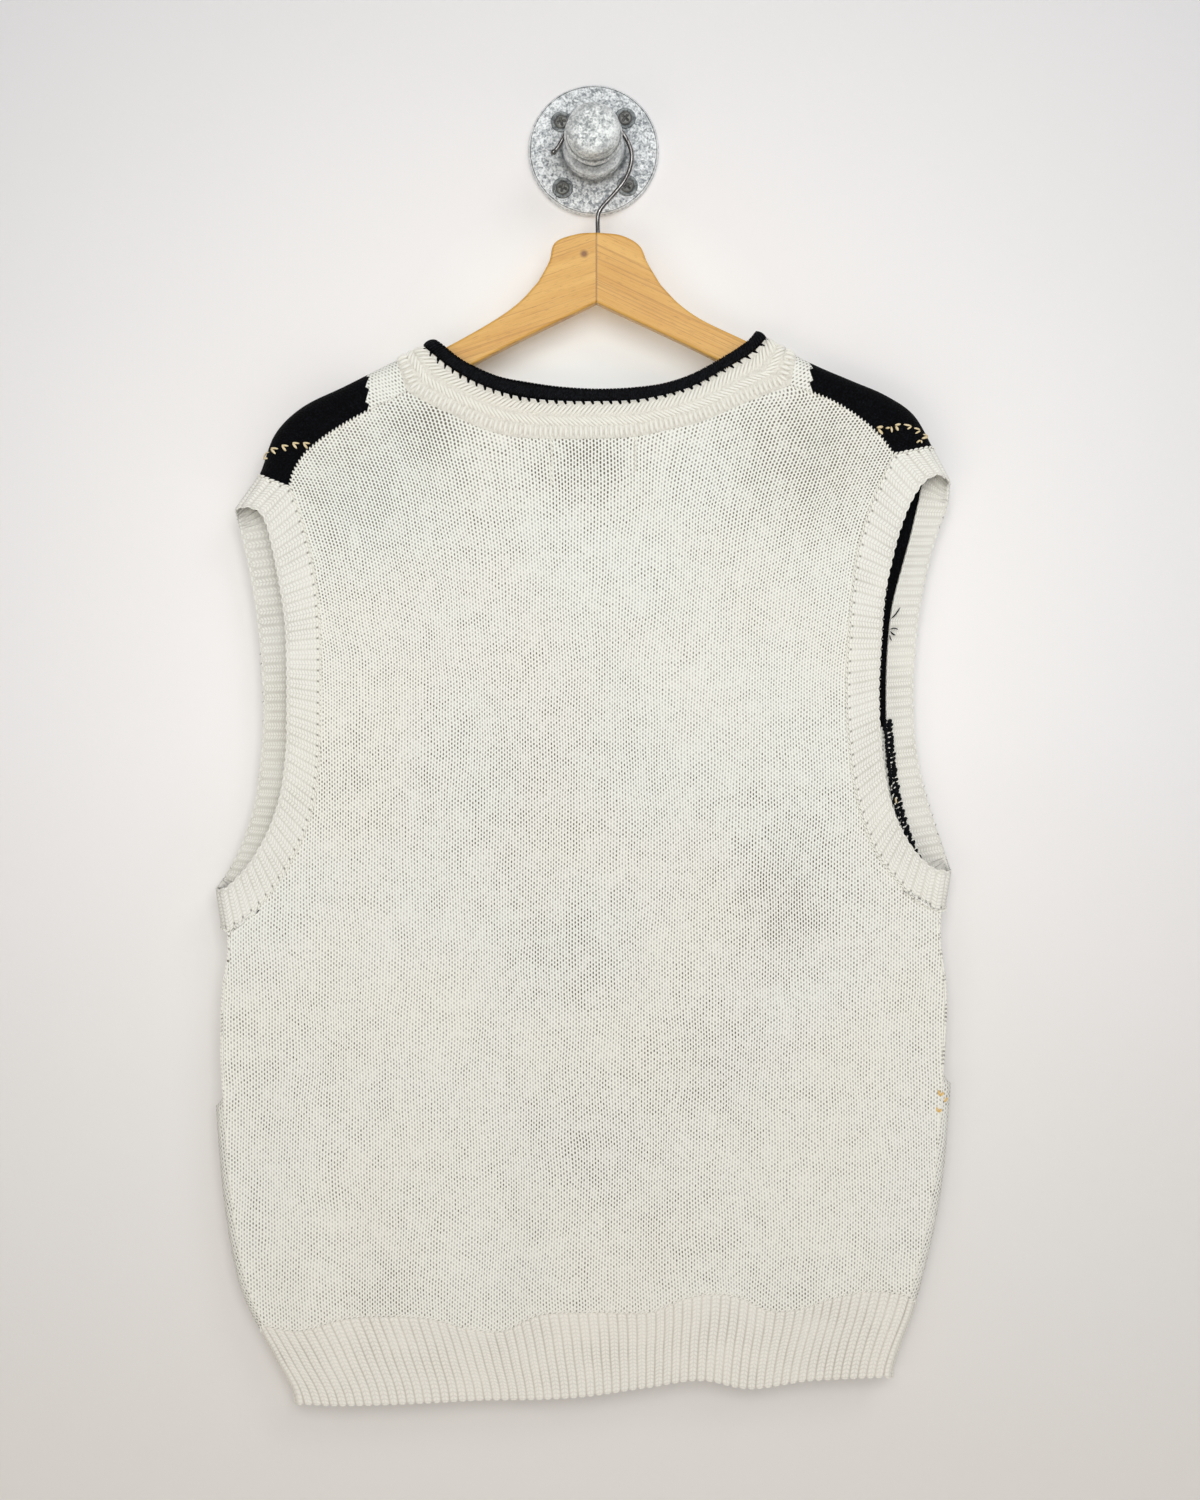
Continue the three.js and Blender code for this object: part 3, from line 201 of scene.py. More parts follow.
# Wall hook: a cast pipe flange, a short threaded nipple and a domed cap, all hot-dip galvanised, so their
# skin is mottled grey with brighter spangles. The cap's dome is rubbed smooth.
FLANGE_RADIUS, FLANGE_PLATE = 44.5, 5.0
HUB_RADIUS, HUB_HEIGHT = 20.5, 16.0
NIPPLE_RADIUS, NIPPLE_END, THREAD_PITCH = 13.2, 40.0, 1.81
CAP_RADIUS, CAP_BACK, CAP_FRONT = 18.8, 38.0, 62.0


def turned(name, profile, segments, material, sharp=40):
    """Lathe piece round the hook's axis: rows of radius and distance out from the wall, in millimetres."""
    vertices, faces = [], []
    for radius, out in profile:
        for step in range(segments):
            angle = 2 * math.pi * step / segments
            vertices.append((radius * math.cos(angle) / 1000, -out / 1000, radius * math.sin(angle) / 1000))
    for row in range(len(profile) - 1):
        for step in range(segments):
            low, high, after = row * segments, (row + 1) * segments, (step + 1) % segments
            faces.append((low + step, low + after, high + after, high + step))
    faces.append(tuple(range(segments - 1, -1, -1)))
    faces.append(tuple(range(len(vertices) - segments, len(vertices))))
    thing = mesh_object(name, vertices, faces, material)
    shape = bmesh.new()
    shape.from_mesh(thing.data)
    bmesh.ops.recalc_face_normals(shape, faces=shape.faces)
    shape.to_mesh(thing.data)
    shape.free()
    thing.data.set_sharp_from_angle(angle=math.radians(sharp))
    # The profile's turns are stored for painted edge light and shade: convex rows get a painted highlight and
    # concave rows painted shade in the zinc material.
    rows = np.asarray(profile, float)
    before, after = rows - np.vstack([rows[:1], rows[:-1]]), np.vstack([rows[1:], rows[-1:]]) - rows
    turn = before[:, 0] * after[:, 1] - before[:, 1] * after[:, 0]
    turn /= np.linalg.norm(before, axis=1) * np.linalg.norm(after, axis=1) + 1e-9
    painted_edge_light_and_shade = thing.data.attributes.new("painted_edge_light_and_shade", "FLOAT", "POINT")
    painted_edge_light_and_shade.data.foreach_set("value", np.repeat(turn, segments).astype(np.float32))
    return thing


def zinc(name, dark, light, spangle, roughness, metallic):
    """Galvanised skin: large grey clouds, small crystals and tiny pits, with a painted highlight on convex
    edges and painted shade in concave corners.
    """
    material, tree, shader, places = new_material(name, roughness, Metallic=metallic)
    clouds = noise(tree, places, 70.0, 3.0)
    pits = noise(tree, places, 620.0, 2.0)
    crystals = tree.nodes.new("ShaderNodeTexVoronoi")
    crystals.inputs["Scale"].default_value = spangle
    tree.links.new(places, crystals.inputs["Vector"])
    grey = split(tree, crystals.outputs["Color"])[0]
    shade = maths(tree, "MULTIPLY_ADD", grey, 0.16, maths(tree, "MULTIPLY", clouds, 0.3))
    shade = maths(tree, "MULTIPLY_ADD", pits, 0.55, shade)
    tone = mixed(tree, ranged(tree, shade, 0.39, 0.61), dark, light)
    # Painted highlights on the profile's convex edges and painted shade in its concave corners.
    painted_edge_light_and_shade = tree.nodes.new("ShaderNodeAttribute")
    painted_edge_light_and_shade.attribute_name = "painted_edge_light_and_shade"
    tone = mixed(tree, ranged(tree, painted_edge_light_and_shade.outputs["Fac"], 0.15, 0.9, 0.0, 0.75), tone, (0.93, 0.95, 0.95, 1))
    tone = mixed(tree, ranged(tree, painted_edge_light_and_shade.outputs["Fac"], -0.1, -0.8, 0.0, 0.85), tone, (0.07, 0.08, 0.08, 1))
    tree.links.new(tone, shader.inputs["Base Color"])
    rough = ranged(tree, clouds, 0.3, 0.7, roughness - 0.08, roughness + 0.12)
    tree.links.new(rough, shader.inputs["Roughness"])
    grain = maths(tree, "MULTIPLY_ADD", pits, 1.6, clouds)
    bumped(tree, shader, grain, 0.9, 0.0006)
    return material


cast_zinc = zinc("cast_zinc", (0.22, 0.24, 0.255, 1), (0.86, 0.89, 0.90, 1), 420.0, 0.5, 0.3)
rubbed_zinc = zinc("rubbed_zinc", (0.26, 0.285, 0.29, 1), (0.86, 0.89, 0.88, 1), 260.0, 0.5, 0.35)

flange = turned("flange", [
    (0.2, 0), (FLANGE_RADIUS, 0), (FLANGE_RADIUS, FLANGE_PLATE - 1.6),
    (FLANGE_RADIUS - 0.35, FLANGE_PLATE - 0.5), (FLANGE_RADIUS - 1.0, FLANGE_PLATE),
    (FLANGE_RADIUS - 1.4, FLANGE_PLATE - 0.5), (FLANGE_RADIUS - 1.9, FLANGE_PLATE - 0.1),
    (FLANGE_RADIUS - 2.6, FLANGE_PLATE - 0.1), (HUB_RADIUS + 4, FLANGE_PLATE),
    (HUB_RADIUS + 2, FLANGE_PLATE + 0.6), (HUB_RADIUS + 0.7, FLANGE_PLATE + 2.2),
    (HUB_RADIUS + 0.2, HUB_HEIGHT - 3), (HUB_RADIUS - 0.5, HUB_HEIGHT - 0.8),
    (HUB_RADIUS - 1.8, HUB_HEIGHT), (15.5, HUB_HEIGHT), (14.2, HUB_HEIGHT - 1), (13.65, HUB_HEIGHT - 2.5),
    (13.65, FLANGE_PLATE + 0.2), (0.2, FLANGE_PLATE + 0.2),
], 96, cast_zinc)
thread = [(0.2, 5.4), (NIPPLE_RADIUS, 5.4)]
for turn in range(int((NIPPLE_END - 16.5) / THREAD_PITCH)):
    out = 16.5 + turn * THREAD_PITCH
    thread += [(NIPPLE_RADIUS, out), (NIPPLE_RADIUS - 0.95, out + 0.7), (NIPPLE_RADIUS, out + 1.3)]
nipple = turned("nipple", thread + [(NIPPLE_RADIUS - 0.6, 48), (0.2, 48)], 64, rubbed_zinc, 60)
cap = turned("cap", [
    (0.2, 49), (13.6, 49), (13.6, CAP_BACK), (CAP_RADIUS - 0.5, CAP_BACK), (CAP_RADIUS + 0.3, CAP_BACK + 0.5),
    (CAP_RADIUS + 0.6, CAP_BACK + 1.4), (CAP_RADIUS + 0.6, CAP_BACK + 4.4),
    (CAP_RADIUS + 0.2, CAP_BACK + 5.4),
    (CAP_RADIUS - 0.9, CAP_BACK + 6.3), (CAP_RADIUS - 1.0, CAP_BACK + 8), (CAP_RADIUS - 1.0, CAP_FRONT - 6.5),
    (CAP_RADIUS - 1.3, CAP_FRONT - 4.6), (CAP_RADIUS - 2.2, CAP_FRONT - 2.8),
    (CAP_RADIUS - 4.0, CAP_FRONT - 1.3), (CAP_RADIUS - 7.4, CAP_FRONT - 0.4), (5, CAP_FRONT - 0.1),
    (0.3, CAP_FRONT),
], 72, rubbed_zinc, 50)
for piece, node in ((flange, "wall_flange"), (nipple, "pipe_nipple"), (cap, "pipe_cap")):
    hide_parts(node)
    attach(piece, "root")

# Four black Phillips wood screws hold the flange, each over a cupped washer. One screw is made, and Geometry
# Nodes set it on the four places and turn each one differently.
SCREW_PLACES = [(-22, 19, 12), (21.5, 21.5, 50), (-21, -26, 71), (23, -24.5, 33)]
SCREW_HEAD_RADIUS, WASHER_RADIUS = 4.5, 7.2

screw_black, tree, shader, places = new_material("screw_black", 0.42, Metallic=0.6)
tone = mixed(tree, noise(tree, places, 300.0, 3.0), (0.03, 0.031, 0.03, 1), (0.26, 0.265, 0.25, 1))
tree.links.new(tone, shader.inputs["Base Color"])
bumped(tree, shader, noise(tree, places, 900.0, 2.0), 0.25, 0.0002)


def screw_mesh(rings=18, segments=40):
    """Rounded head with a cross recess as one closed shell that faces the viewer."""
    vertices, faces = [], []
    for ring in range(rings + 1):
        radius = SCREW_HEAD_RADIUS * 1.1 * (1 - ring / rings) + 0.02
        for step in range(segments):
            angle = 2 * math.pi * step / segments
            x, z = radius * math.cos(angle), radius * math.sin(angle)
            head = math.sqrt(max(0.0, 1 - (radius / (SCREW_HEAD_RADIUS * 1.04)) ** 2))
            out = 0.2 + (0.9 + 1.2 * head if head > 0 else 0)
            if min(abs(x), abs(z)) < 0.7 and radius < 3.3:
                out -= 2.1 * (1 - radius / 4.2)
            vertices.append((x / 1000, -out / 1000, z / 1000))
    for ring in range(rings):
        for step in range(segments):
            low, high, after = ring * segments, (ring + 1) * segments, (step + 1) % segments
            faces.append((low + step, low + after, high + after, high + step))
    faces.append(tuple(range(rings * segments, (rings + 1) * segments)))
    faces.append(tuple(range(segments - 1, -1, -1)))
    return vertices, faces


def placing_tree(name):
    """Geometry Nodes: one shape on each point, its Z along the point's "out" and its X along "along"."""
    tree = bpy.data.node_groups.new(name, "GeometryNodeTree")
    tree.is_modifier = True
    for label, kind in (("Geometry", "NodeSocketGeometry"), ("Shape", "NodeSocketObject"),
                        ("Size", "NodeSocketFloat"), ("Size Change", "NodeSocketFloat"),
                        ("Seed", "NodeSocketInt"), ("Finish", "NodeSocketMaterial")):
        tree.interface.new_socket(label, in_out="INPUT", socket_type=kind)
    tree.interface.new_socket("Geometry", in_out="OUTPUT", socket_type="NodeSocketGeometry")
    start = tree.nodes.new("NodeGroupInput").outputs
    end = tree.nodes.new("NodeGroupOutput").inputs

    def direction(label):
        node = tree.nodes.new("GeometryNodeInputNamedAttribute")
        node.data_type = "FLOAT_VECTOR"
        node.inputs["Name"].default_value = label
        return node.outputs[0]

    upright = tree.nodes.new("FunctionNodeAlignRotationToVector")
    upright.axis = "Z"
    tree.links.new(direction("out"), upright.inputs["Vector"])
    turned_to = tree.nodes.new("FunctionNodeAlignRotationToVector")
    turned_to.axis = "X"
    turned_to.pivot_axis = "Z"
    tree.links.new(upright.outputs[0], turned_to.inputs["Rotation"])
    tree.links.new(direction("along"), turned_to.inputs["Vector"])
    points = tree.nodes.new("GeometryNodeMeshToPoints")
    tree.links.new(start["Geometry"], points.inputs["Mesh"])
    shape = tree.nodes.new("GeometryNodeObjectInfo")
    tree.links.new(start["Shape"], shape.inputs["Object"])
    change = tree.nodes.new("FunctionNodeRandomValue")
    change.data_type = "FLOAT"
    smallest = maths(tree, "SUBTRACT", start["Size"], start["Size Change"])
    largest = maths(tree, "ADD", start["Size"], start["Size Change"])
    tree.links.new(smallest, change.inputs[2])
    tree.links.new(largest, change.inputs[3])
    tree.links.new(start["Seed"], change.inputs["Seed"])
    placed = tree.nodes.new("GeometryNodeInstanceOnPoints")
    tree.links.new(points.outputs[0], placed.inputs["Points"])
    tree.links.new(shape.outputs["Geometry"], placed.inputs["Instance"])
    tree.links.new(turned_to.outputs[0], placed.inputs["Rotation"])
    tree.links.new(change.outputs[1], placed.inputs["Scale"])
    real = tree.nodes.new("GeometryNodeRealizeInstances")
    tree.links.new(placed.outputs[0], real.inputs[0])
    finish = tree.nodes.new("GeometryNodeSetMaterial")
    tree.links.new(real.outputs[0], finish.inputs["Geometry"])
    tree.links.new(start["Finish"], finish.inputs["Material"])
    tree.links.new(finish.outputs[0], end[0])
    return tree


set_on_points = placing_tree("set_on_points")


def repeated(name, points, outs, alongs, shape, material, size=1.0, change=0.0, seed=1):
    """One shape repeated on points in metres, as a plain mesh."""
    base = bpy.data.meshes.new(name + "_points")
    base.from_pydata([tuple(point) for point in points], [], [])
    for label, values in (("out", outs), ("along", alongs)):
        attribute = base.attributes.new(label, "FLOAT_VECTOR", "POINT")
        attribute.data.foreach_set("vector", np.asarray(values, np.float32).ravel())
    pattern = mesh_object(name + "_pattern", shape[0], shape[1], material)
    carrier = bpy.data.objects.new(name + "_carrier", base)
    bpy.context.scene.collection.objects.link(carrier)
    modifier = carrier.modifiers.new("places", "NODES")
    modifier.node_group = set_on_points
    entries = {"Shape": pattern, "Size": size, "Size Change": change, "Seed": seed, "Finish": material}
    for item in set_on_points.interface.items_tree:
        if item.in_out == "INPUT" and item.name in entries:
            modifier[item.identifier] = entries[item.name]
    evaluated = carrier.evaluated_get(bpy.context.evaluated_depsgraph_get())
    mesh = bpy.data.meshes.new_from_object(evaluated)
    mesh.name = name
    for attribute in ("out", "along"):
        if attribute in mesh.attributes:
            mesh.attributes.remove(mesh.attributes[attribute])
    thing = bpy.data.objects.new(name, mesh)
    bpy.context.scene.collection.objects.link(thing)
    bpy.data.objects.remove(carrier)
    bpy.data.objects.remove(pattern)
    return thing


screw_shape, screw_faces = screw_mesh()
screw_shape = [(x, z, -y) for x, y, z in screw_shape]
screw_points = [(x / 1000, -(FLANGE_PLATE - 0.2) / 1000, z / 1000) for x, z, _ in SCREW_PLACES]
screw_turns = [(math.cos(math.radians(a)), 0, math.sin(math.radians(a))) for _, _, a in SCREW_PLACES]
screws = repeated("flange_screws", screw_points, [(0, -1, 0)] * 4, screw_turns,
                  (screw_shape, [tuple(reversed(face)) for face in screw_faces]), screw_black)
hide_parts("wall_screw_1", "wall_screw_2", "wall_screw_3", "wall_screw_4")
dull_zinc = zinc("dull_zinc", (0.10, 0.11, 0.115, 1), (0.36, 0.39, 0.39, 1), 420.0, 0.55, 0.3)
CUP_RIM = [
    (4.4, 0.05), (WASHER_RADIUS, 0.05), (WASHER_RADIUS, 0.3), (6.5, 1.2),
    (6.1, 1.25), (5.0, 0.75), (4.4, 0.3),
]
CUP_STEPS = 48
cup_shape, cup_faces = [], []
for step in range(CUP_STEPS):
    angle = 2 * math.pi * step / CUP_STEPS
    cup_shape += [(r * math.cos(angle) / 1000, r * math.sin(angle) / 1000, out / 1000) for r, out in CUP_RIM]
    for corner in range(len(CUP_RIM)):
        a, b = step * len(CUP_RIM) + corner, step * len(CUP_RIM) + (corner + 1) % len(CUP_RIM)
        c, d = ((end + len(CUP_RIM)) % (CUP_STEPS * len(CUP_RIM)) for end in (a, b))
        cup_faces.append((a, c, d, b))
cups = repeated("flange_screw_cups", screw_points, [(0, -1, 0)] * 4, screw_turns, (cup_shape, cup_faces),
                dull_zinc)
for item in (screws, cups):
    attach(item, "root")

# Hanger: two flat arms of pale lacquered beech, glued where they meet in the middle, with rounded edges and a
# small bevel along the lower edge. Each half is cut from its own board, so the grain differs.
HANGER_THICKNESS, HANGER_DEPTH, HANGER_ROUND = 11.0, -30.0, 1.6
HANGER_HALVES = {
    "left": [
        (1.97, -63), (-11, -64), (-26, -70), (-29.5, -82), (-37, -96), (-49, -109), (-63, -119.5),
        (-98, -139.5), (-129.5, -154.5), (-163, -171.5), (-192, -187), (-205, -198), (-207, -206),
        (-200, -209), (-165, -195), (-122, -174), (-62, -141.5), (1.97, -110),
    ],
    "right": [
        (2.03, -63), (19, -65), (31, -72), (36, -83), (45, -98), (57, -110.5), (71, -120.5), (103, -136),
        (143.5, -156.5), (171.5, -169), (192, -178.5), (205, -190), (208, -198), (201, -201),
        (168, -189), (124, -170), (71, -142.5), (2.03, -110),
    ],
}


def smooth_line(knots, count):
    """Evenly spaced points along a smooth line through knots (centripetal Catmull-Rom)."""
    knots = np.asarray(knots, float)
    knots = np.vstack([2 * knots[0] - knots[1], knots, 2 * knots[-1] - knots[-2]])
    times = np.concatenate([[0], np.cumsum(np.sqrt(np.linalg.norm(np.diff(knots, axis=0), axis=1)))])
    parts = []
    for index in range(1, len(knots) - 2):
        (a, b, c, d), (ta, tb, tc, td) = knots[index - 1:index + 3], times[index - 1:index + 3]
        t = np.linspace(tb, tc, 24, endpoint=False)[:, None]
        ab = ((tb - t) * a + (t - ta) * b) / (tb - ta)
        bc = ((tc - t) * b + (t - tb) * c) / (tc - tb)
        cd = ((td - t) * c + (t - tc) * d) / (td - tc)
        abc = ((tc - t) * ab + (t - ta) * bc) / (tc - ta)
        bcd = ((td - t) * bc + (t - tb) * cd) / (td - tb)
        parts.append(((tc - t) * abc + (t - tb) * bcd) / (tc - tb))
    return at_shares(np.vstack(parts + [knots[-2:-1]]), np.linspace(0, 1, count + 1))


def at_shares(line, shares):
    """Rows of a line at shares of its length; columns past the third are carried along."""
    reach = np.linalg.norm(np.diff(line[:, :3], axis=0), axis=1)
    reach = np.concatenate([[0], np.cumsum(reach)])
    return np.stack([np.interp(np.asarray(shares) * reach[-1], reach, column) for column in line.T], 1)


def pale_beech(name, lean, offset):
    """Straight grain along the arm with fine darker pores, under satin lacquer."""
    material, tree, shader, places = new_material(name, 0.42, Coat_Weight=0.12, Coat_Roughness=0.35,
                                                   Specular_IOR_Level=0.35)
    board = tree.nodes.new("ShaderNodeMapping")
    board.inputs["Location"].default_value = offset
    board.inputs["Rotation"].default_value = (0, math.radians(lean), 0)
    tree.links.new(places, board.inputs["Vector"])
    stretched = vectors(tree, "MULTIPLY", board.outputs[0], (7.0, 30.0, 110.0))
    rings = noise(tree, stretched, 1.0, 3.0)
    fine = noise(tree, vectors(tree, "MULTIPLY", board.outputs[0], (35.0, 200.0, 1100.0)), 1.0, 3.0)
    pores = noise(tree, vectors(tree, "MULTIPLY", board.outputs[0], (140.0, 900.0, 2600.0)), 1.0, 1.0)
    tone = mixed(tree, ranged(tree, rings, 0.33, 0.68), (0.73, 0.42, 0.10, 1), (0.62, 0.312, 0.055, 1))
    tone = mixed(tree, ranged(tree, fine, 0.35, 0.75, 0.0, 0.45), tone, (0.78, 0.49, 0.14, 1))
    tone = mixed(tree, ranged(tree, pores, 0.60, 0.74, 0.0, 0.6), tone, (0.30, 0.13, 0.03, 1))
    lines = noise(tree, vectors(tree, "MULTIPLY", board.outputs[0], (7.0, 60.0, 700.0)), 1.0, 2.0)
    tone = mixed(tree, ranged(tree, lines, 0.55, 0.63, 0.0, 0.5), tone, (0.42, 0.19, 0.04, 1))
    from_joint = maths(tree, "ABSOLUTE", maths(tree, "SUBTRACT", split(tree, places)[0], 0.002))
    tone = mixed(tree, ranged(tree, from_joint, 0.0003, 0.0008, 0.65, 0.0), tone, (0.25, 0.11, 0.03, 1))
    tree.links.new(tone, shader.inputs["Base Color"])
    bumped(tree, shader, maths(tree, "SUBTRACT", fine, pores), 0.12, 0.0002)
    return material, tree, shader, places, tone


hanger_pieces = []
for side, lean, offset in (("left", 19, (0.3, 0.0, 0.11)), ("right", -25, (0.71, 0.2, 0.037))):
    beech, tree, shader, places, tone = pale_beech("pale_beech_" + side, lean, offset)
    if side == "left":
        knot = vectors(tree, "LENGTH", vectors(tree, "MULTIPLY", vectors(
            tree, "SUBTRACT", places, (-0.0062, -0.0355, -0.0775)), (1.0, 0.4, 1.0)))
        tone = mixed(tree, ranged(tree, knot, 0.0012, 0.0034, 0.9, 0.0), tone, (0.20, 0.075, 0.02, 1))
        tree.links.new(tone, shader.inputs["Base Color"])
    corners = HANGER_HALVES[side]
    upper = smooth_line(corners[:5], 24)
    outline = np.vstack([upper[:-1], smooth_line(corners[4:14], 60)[:-1], smooth_line(corners[13:], 30)])
    vertices = [(x / 1000, (HANGER_DEPTH - HANGER_THICKNESS / 2) / 1000, z / 1000) for x, z in outline]
    vertices += [(x, y + HANGER_THICKNESS / 1000, z) for x, y, z in vertices]
    count = len(outline)
    faces = [tuple(range(count)), tuple(range(2 * count - 1, count - 1, -1))]
    faces += [(i, (i + 1) % count, (i + 1) % count + count, i + count) for i in range(count)]
    arm = mesh_object("hanger_arm_of_" + side + "_board", vertices, faces, beech)
    shape = bmesh.new()
    shape.from_mesh(arm.data)
    bmesh.ops.recalc_face_normals(shape, faces=shape.faces)
    shape.to_mesh(arm.data)
    shape.free()
    arm.data.set_sharp_from_angle(angle=math.radians(40))
    rounded = arm.data.attributes.new("bevel_weight_edge", "FLOAT", "EDGE")
    for edge, weight in zip(arm.data.edges, rounded.data):
        ends = [arm.data.vertices[index].co for index in edge.vertices]
        on_joint = all(abs(end.x - 0.002) < 0.0003 for end in ends)
        weight.value = 0.0 if on_joint or abs(ends[0].y - ends[1].y) > 0.001 else 1.0
    bevel = arm.modifiers.new("rounded_edges", "BEVEL")
    bevel.width = HANGER_ROUND / 1000
    bevel.segments = 3
    bevel.limit_method = "WEIGHT"
    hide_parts("hanger_arm_" + side)
    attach(arm, "root")
    hanger_pieces.append(arm)

# Hook: one length of bright drawn steel wire, bent to a question mark over the nipple and screwed into the
# hanger's top, with a small ball on its free end.
WIRE_RADIUS = 1.5
HOOK_LINE = [
    (-28.4, -9.6), (-24.5, -6), (-20, 1.5), (-15.5, 8.5), (-9, 13.3), (-1, 15.1), (8, 13.6), (15.5, 9),
    (21.5, 1.5), (25.4, -8), (25, -17), (21, -27), (14, -36), (5.5, -45.5), (3.2, -50), (3, -64.5),
]
bright_wire, tree, shader, places = new_material("bright_wire", 0.22, Metallic=1.0)
streaks = noise(tree, vectors(tree, "MULTIPLY", places, (900.0, 900.0, 120.0)), 1.0, 2.0)
tone = mixed(tree, ranged(tree, streaks, 0.3, 0.7), (0.04, 0.038, 0.037, 1), (0.30, 0.29, 0.285, 1))
tree.links.new(tone, shader.inputs["Base Color"])
bumped(tree, shader, streaks, 0.1, 0.0001)


def tube(path, radii, sides=12):
    """Vertices and faces of round wire or yarn along a path in millimetres, closed at both ends."""
    path = np.asarray(path, float)
    radii = np.broadcast_to(radii, len(path))
    ahead = np.gradient(path, axis=0)
    ahead /= np.linalg.norm(ahead, axis=1)[:, None]
    first = np.cross(ahead, (0.13, 0.95, 0.28))
    first /= np.linalg.norm(first, axis=1)[:, None]
    second = np.cross(ahead, first)
    angles = np.linspace(0, 2 * math.pi, sides, endpoint=False)
    ring = first[:, None] * np.cos(angles)[None, :, None] + second[:, None] * np.sin(angles)[None, :, None]
    vertices = (path[:, None] + ring * radii[:, None, None]).reshape(-1, 3) / 1000
    faces = []
    for row in range(len(path) - 1):
        for side in range(sides):
            a, b = row * sides + side, row * sides + (side + 1) % sides
            faces.append((a, b, b + sides, a + sides))
    last = (len(path) - 1) * sides
    faces += [tuple(range(sides - 1, -1, -1)), tuple(range(last, last + sides))]
    return vertices.tolist(), faces


hook_path = smooth_line(HOOK_LINE, 150)
hook_path = np.column_stack([hook_path[:, 0], np.full(len(hook_path), HANGER_DEPTH), hook_path[:, 1]])
hook_radii = np.full(len(hook_path), WIRE_RADIUS)
hook_radii[:4] = (0.5, 1.6, 2.1, 1.9)
wire_hook = mesh_object("wire_hook", *tube(hook_path, hook_radii, 16), bright_wire)
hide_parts("hanger_hook")
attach(wire_hook, "root")

# Back panel: plain stocking stitch in off-white cotton yarn, 131 wales across, knitted flat and shaped at the
# armholes and neck. It hangs a finger's breadth nearer the camera than the front panel, and its wales
# spread at the shoulders.
WALE, COURSE = 3.75, 2.82
YARN_WALL = 1.8
SEAM_INSET = 7.0
MID_DEPTH, HALF_SPACE = (-30.0, -20.0), (8.5, 7.0)
SHOULDER_LEVEL, HEM_LEVEL = -140.0, -840.0
OUTLINE = {
    "left": [
        (-200, -875), (-202, -843), (-215, -817), (-237, -774), (-248, -719), (-254, -650), (-256, -604),
        (-254.5, -565), (-250.5, -532), (-253.5, -502), (-249, -375), (-242.5, -251), (-236, -243),
        (-224, -225), (-213, -197), (-196, -180), (-166, -165), (-132, -148), (-112, -138.5), (-92, -127),
    ],
    "right": [
        (200, -858), (202, -826), (207, -809), (215, -788), (226, -748), (235, -700), (241, -625),
        (243, -572), (238.5, -533), (237, -516), (240.5, -491), (241, -375), (240.5, -233), (235, -221),
        (227.5, -207), (214, -184), (195, -171), (174, -162), (146, -150), (116, -134), (96, -123),
    ],
}
BACK_ARMHOLE = {
    "left": [
        (-244, -530), (-228, -518), (-210, -497), (-196, -472), (-187, -447), (-183, -415), (-182, -375),
        (-182, -335), (-184, -302), (-189, -274), (-195, -252), (-202, -233),
    ],
    "right": [
        (232, -516.5), (219, -511), (204, -497), (189, -477), (179.5, -453), (173.5, -427), (170, -395),
        (169, -362), (171, -325), (175, -284), (182.5, -253), (191, -231), (200, -212),
    ],
}
SHOULDER_SEAM = {
    "left": [
        (-202, -233), (-200, -225), (-193, -213), (-181, -202), (-166, -192), (-148, -182), (-124, -170),
    ],
    "right": [(200, -212), (196, -206.5), (188, -197), (174, -185.5), (160, -177), (146, -171), (131, -166)],
}
NECK_SEAM = [
    (-130, -149), (-124, -170), (-110, -178), (-94, -185.5), (-76, -194), (-54, -200), (-28, -201.5),
    (0, -201.5), (28, -200), (52, -195), (72, -190), (91, -182), (110, -174), (131, -166), (134, -145),
]
RIB_TOP = [
    (-225, -794), (-200, -798), (-163, -789), (-112, -789), (-84, -797), (-62, -799), (-36, -787),
    (0, -785), (38, -785), (60, -776), (82, -773), (98, -776), (118, -785), (140, -783), (162, -775),
    (188, -771), (215, -776),
]
# Folds: x at the low end, low and high levels, lean over the height, half width, depth outwards
BACK_FOLDS = [
    (-190, -800, -560, -12, 26, 2.2), (-128, -800, -600, 14, 30, 3.0), (-72, -815, -640, 26, 20, -3.4),
    (-18, -800, -560, 20, 32, 3.0), (58, -795, -620, -8, 26, 2.6), (116, -810, -650, -20, 20, -3.2),
    (172, -790, -540, 14, 26, 2.6), (-150, -470, -235, 18, 24, -1.2), (138, -470, -225, -14, 24, -1.2),
    (-4, -420, -215, 4, 52, -1.3),
]
FRONT_FOLDS = [
    (-150, -810, -600, 10, 30, 2.6), (-60, -820, -560, 14, 34, -2.6), (30, -815, -600, -10, 32, 2.6),
    (118, -810, -640, -16, 26, -2.4), (185, -800, -580, 8, 26, 2.0),
]
BLOUSE_ABOVE, BLOUSE_HEIGHT, BLOUSE_DEPTH = 20.0, 34.0, 2.4
TURN_FADE = 6.0


def mix(first, second, share):
    return first + (second - first) * share


def smooth_step(value, low, high):
    share = np.clip((value - low) / (high - low), 0, 1)
    return share * share * (3 - 2 * share)


edge_lines, edge_inward = {}, {}
for side, turn in (("left", 1), ("right", -1)):
    line = smooth_line(OUTLINE[side], 360)
    ahead = np.gradient(line, axis=0)
    ahead /= np.linalg.norm(ahead, axis=1)[:, None]
    edge_lines[side] = line
    edge_inward[side] = np.column_stack([ahead[:, 1] * turn, -ahead[:, 0] * turn])


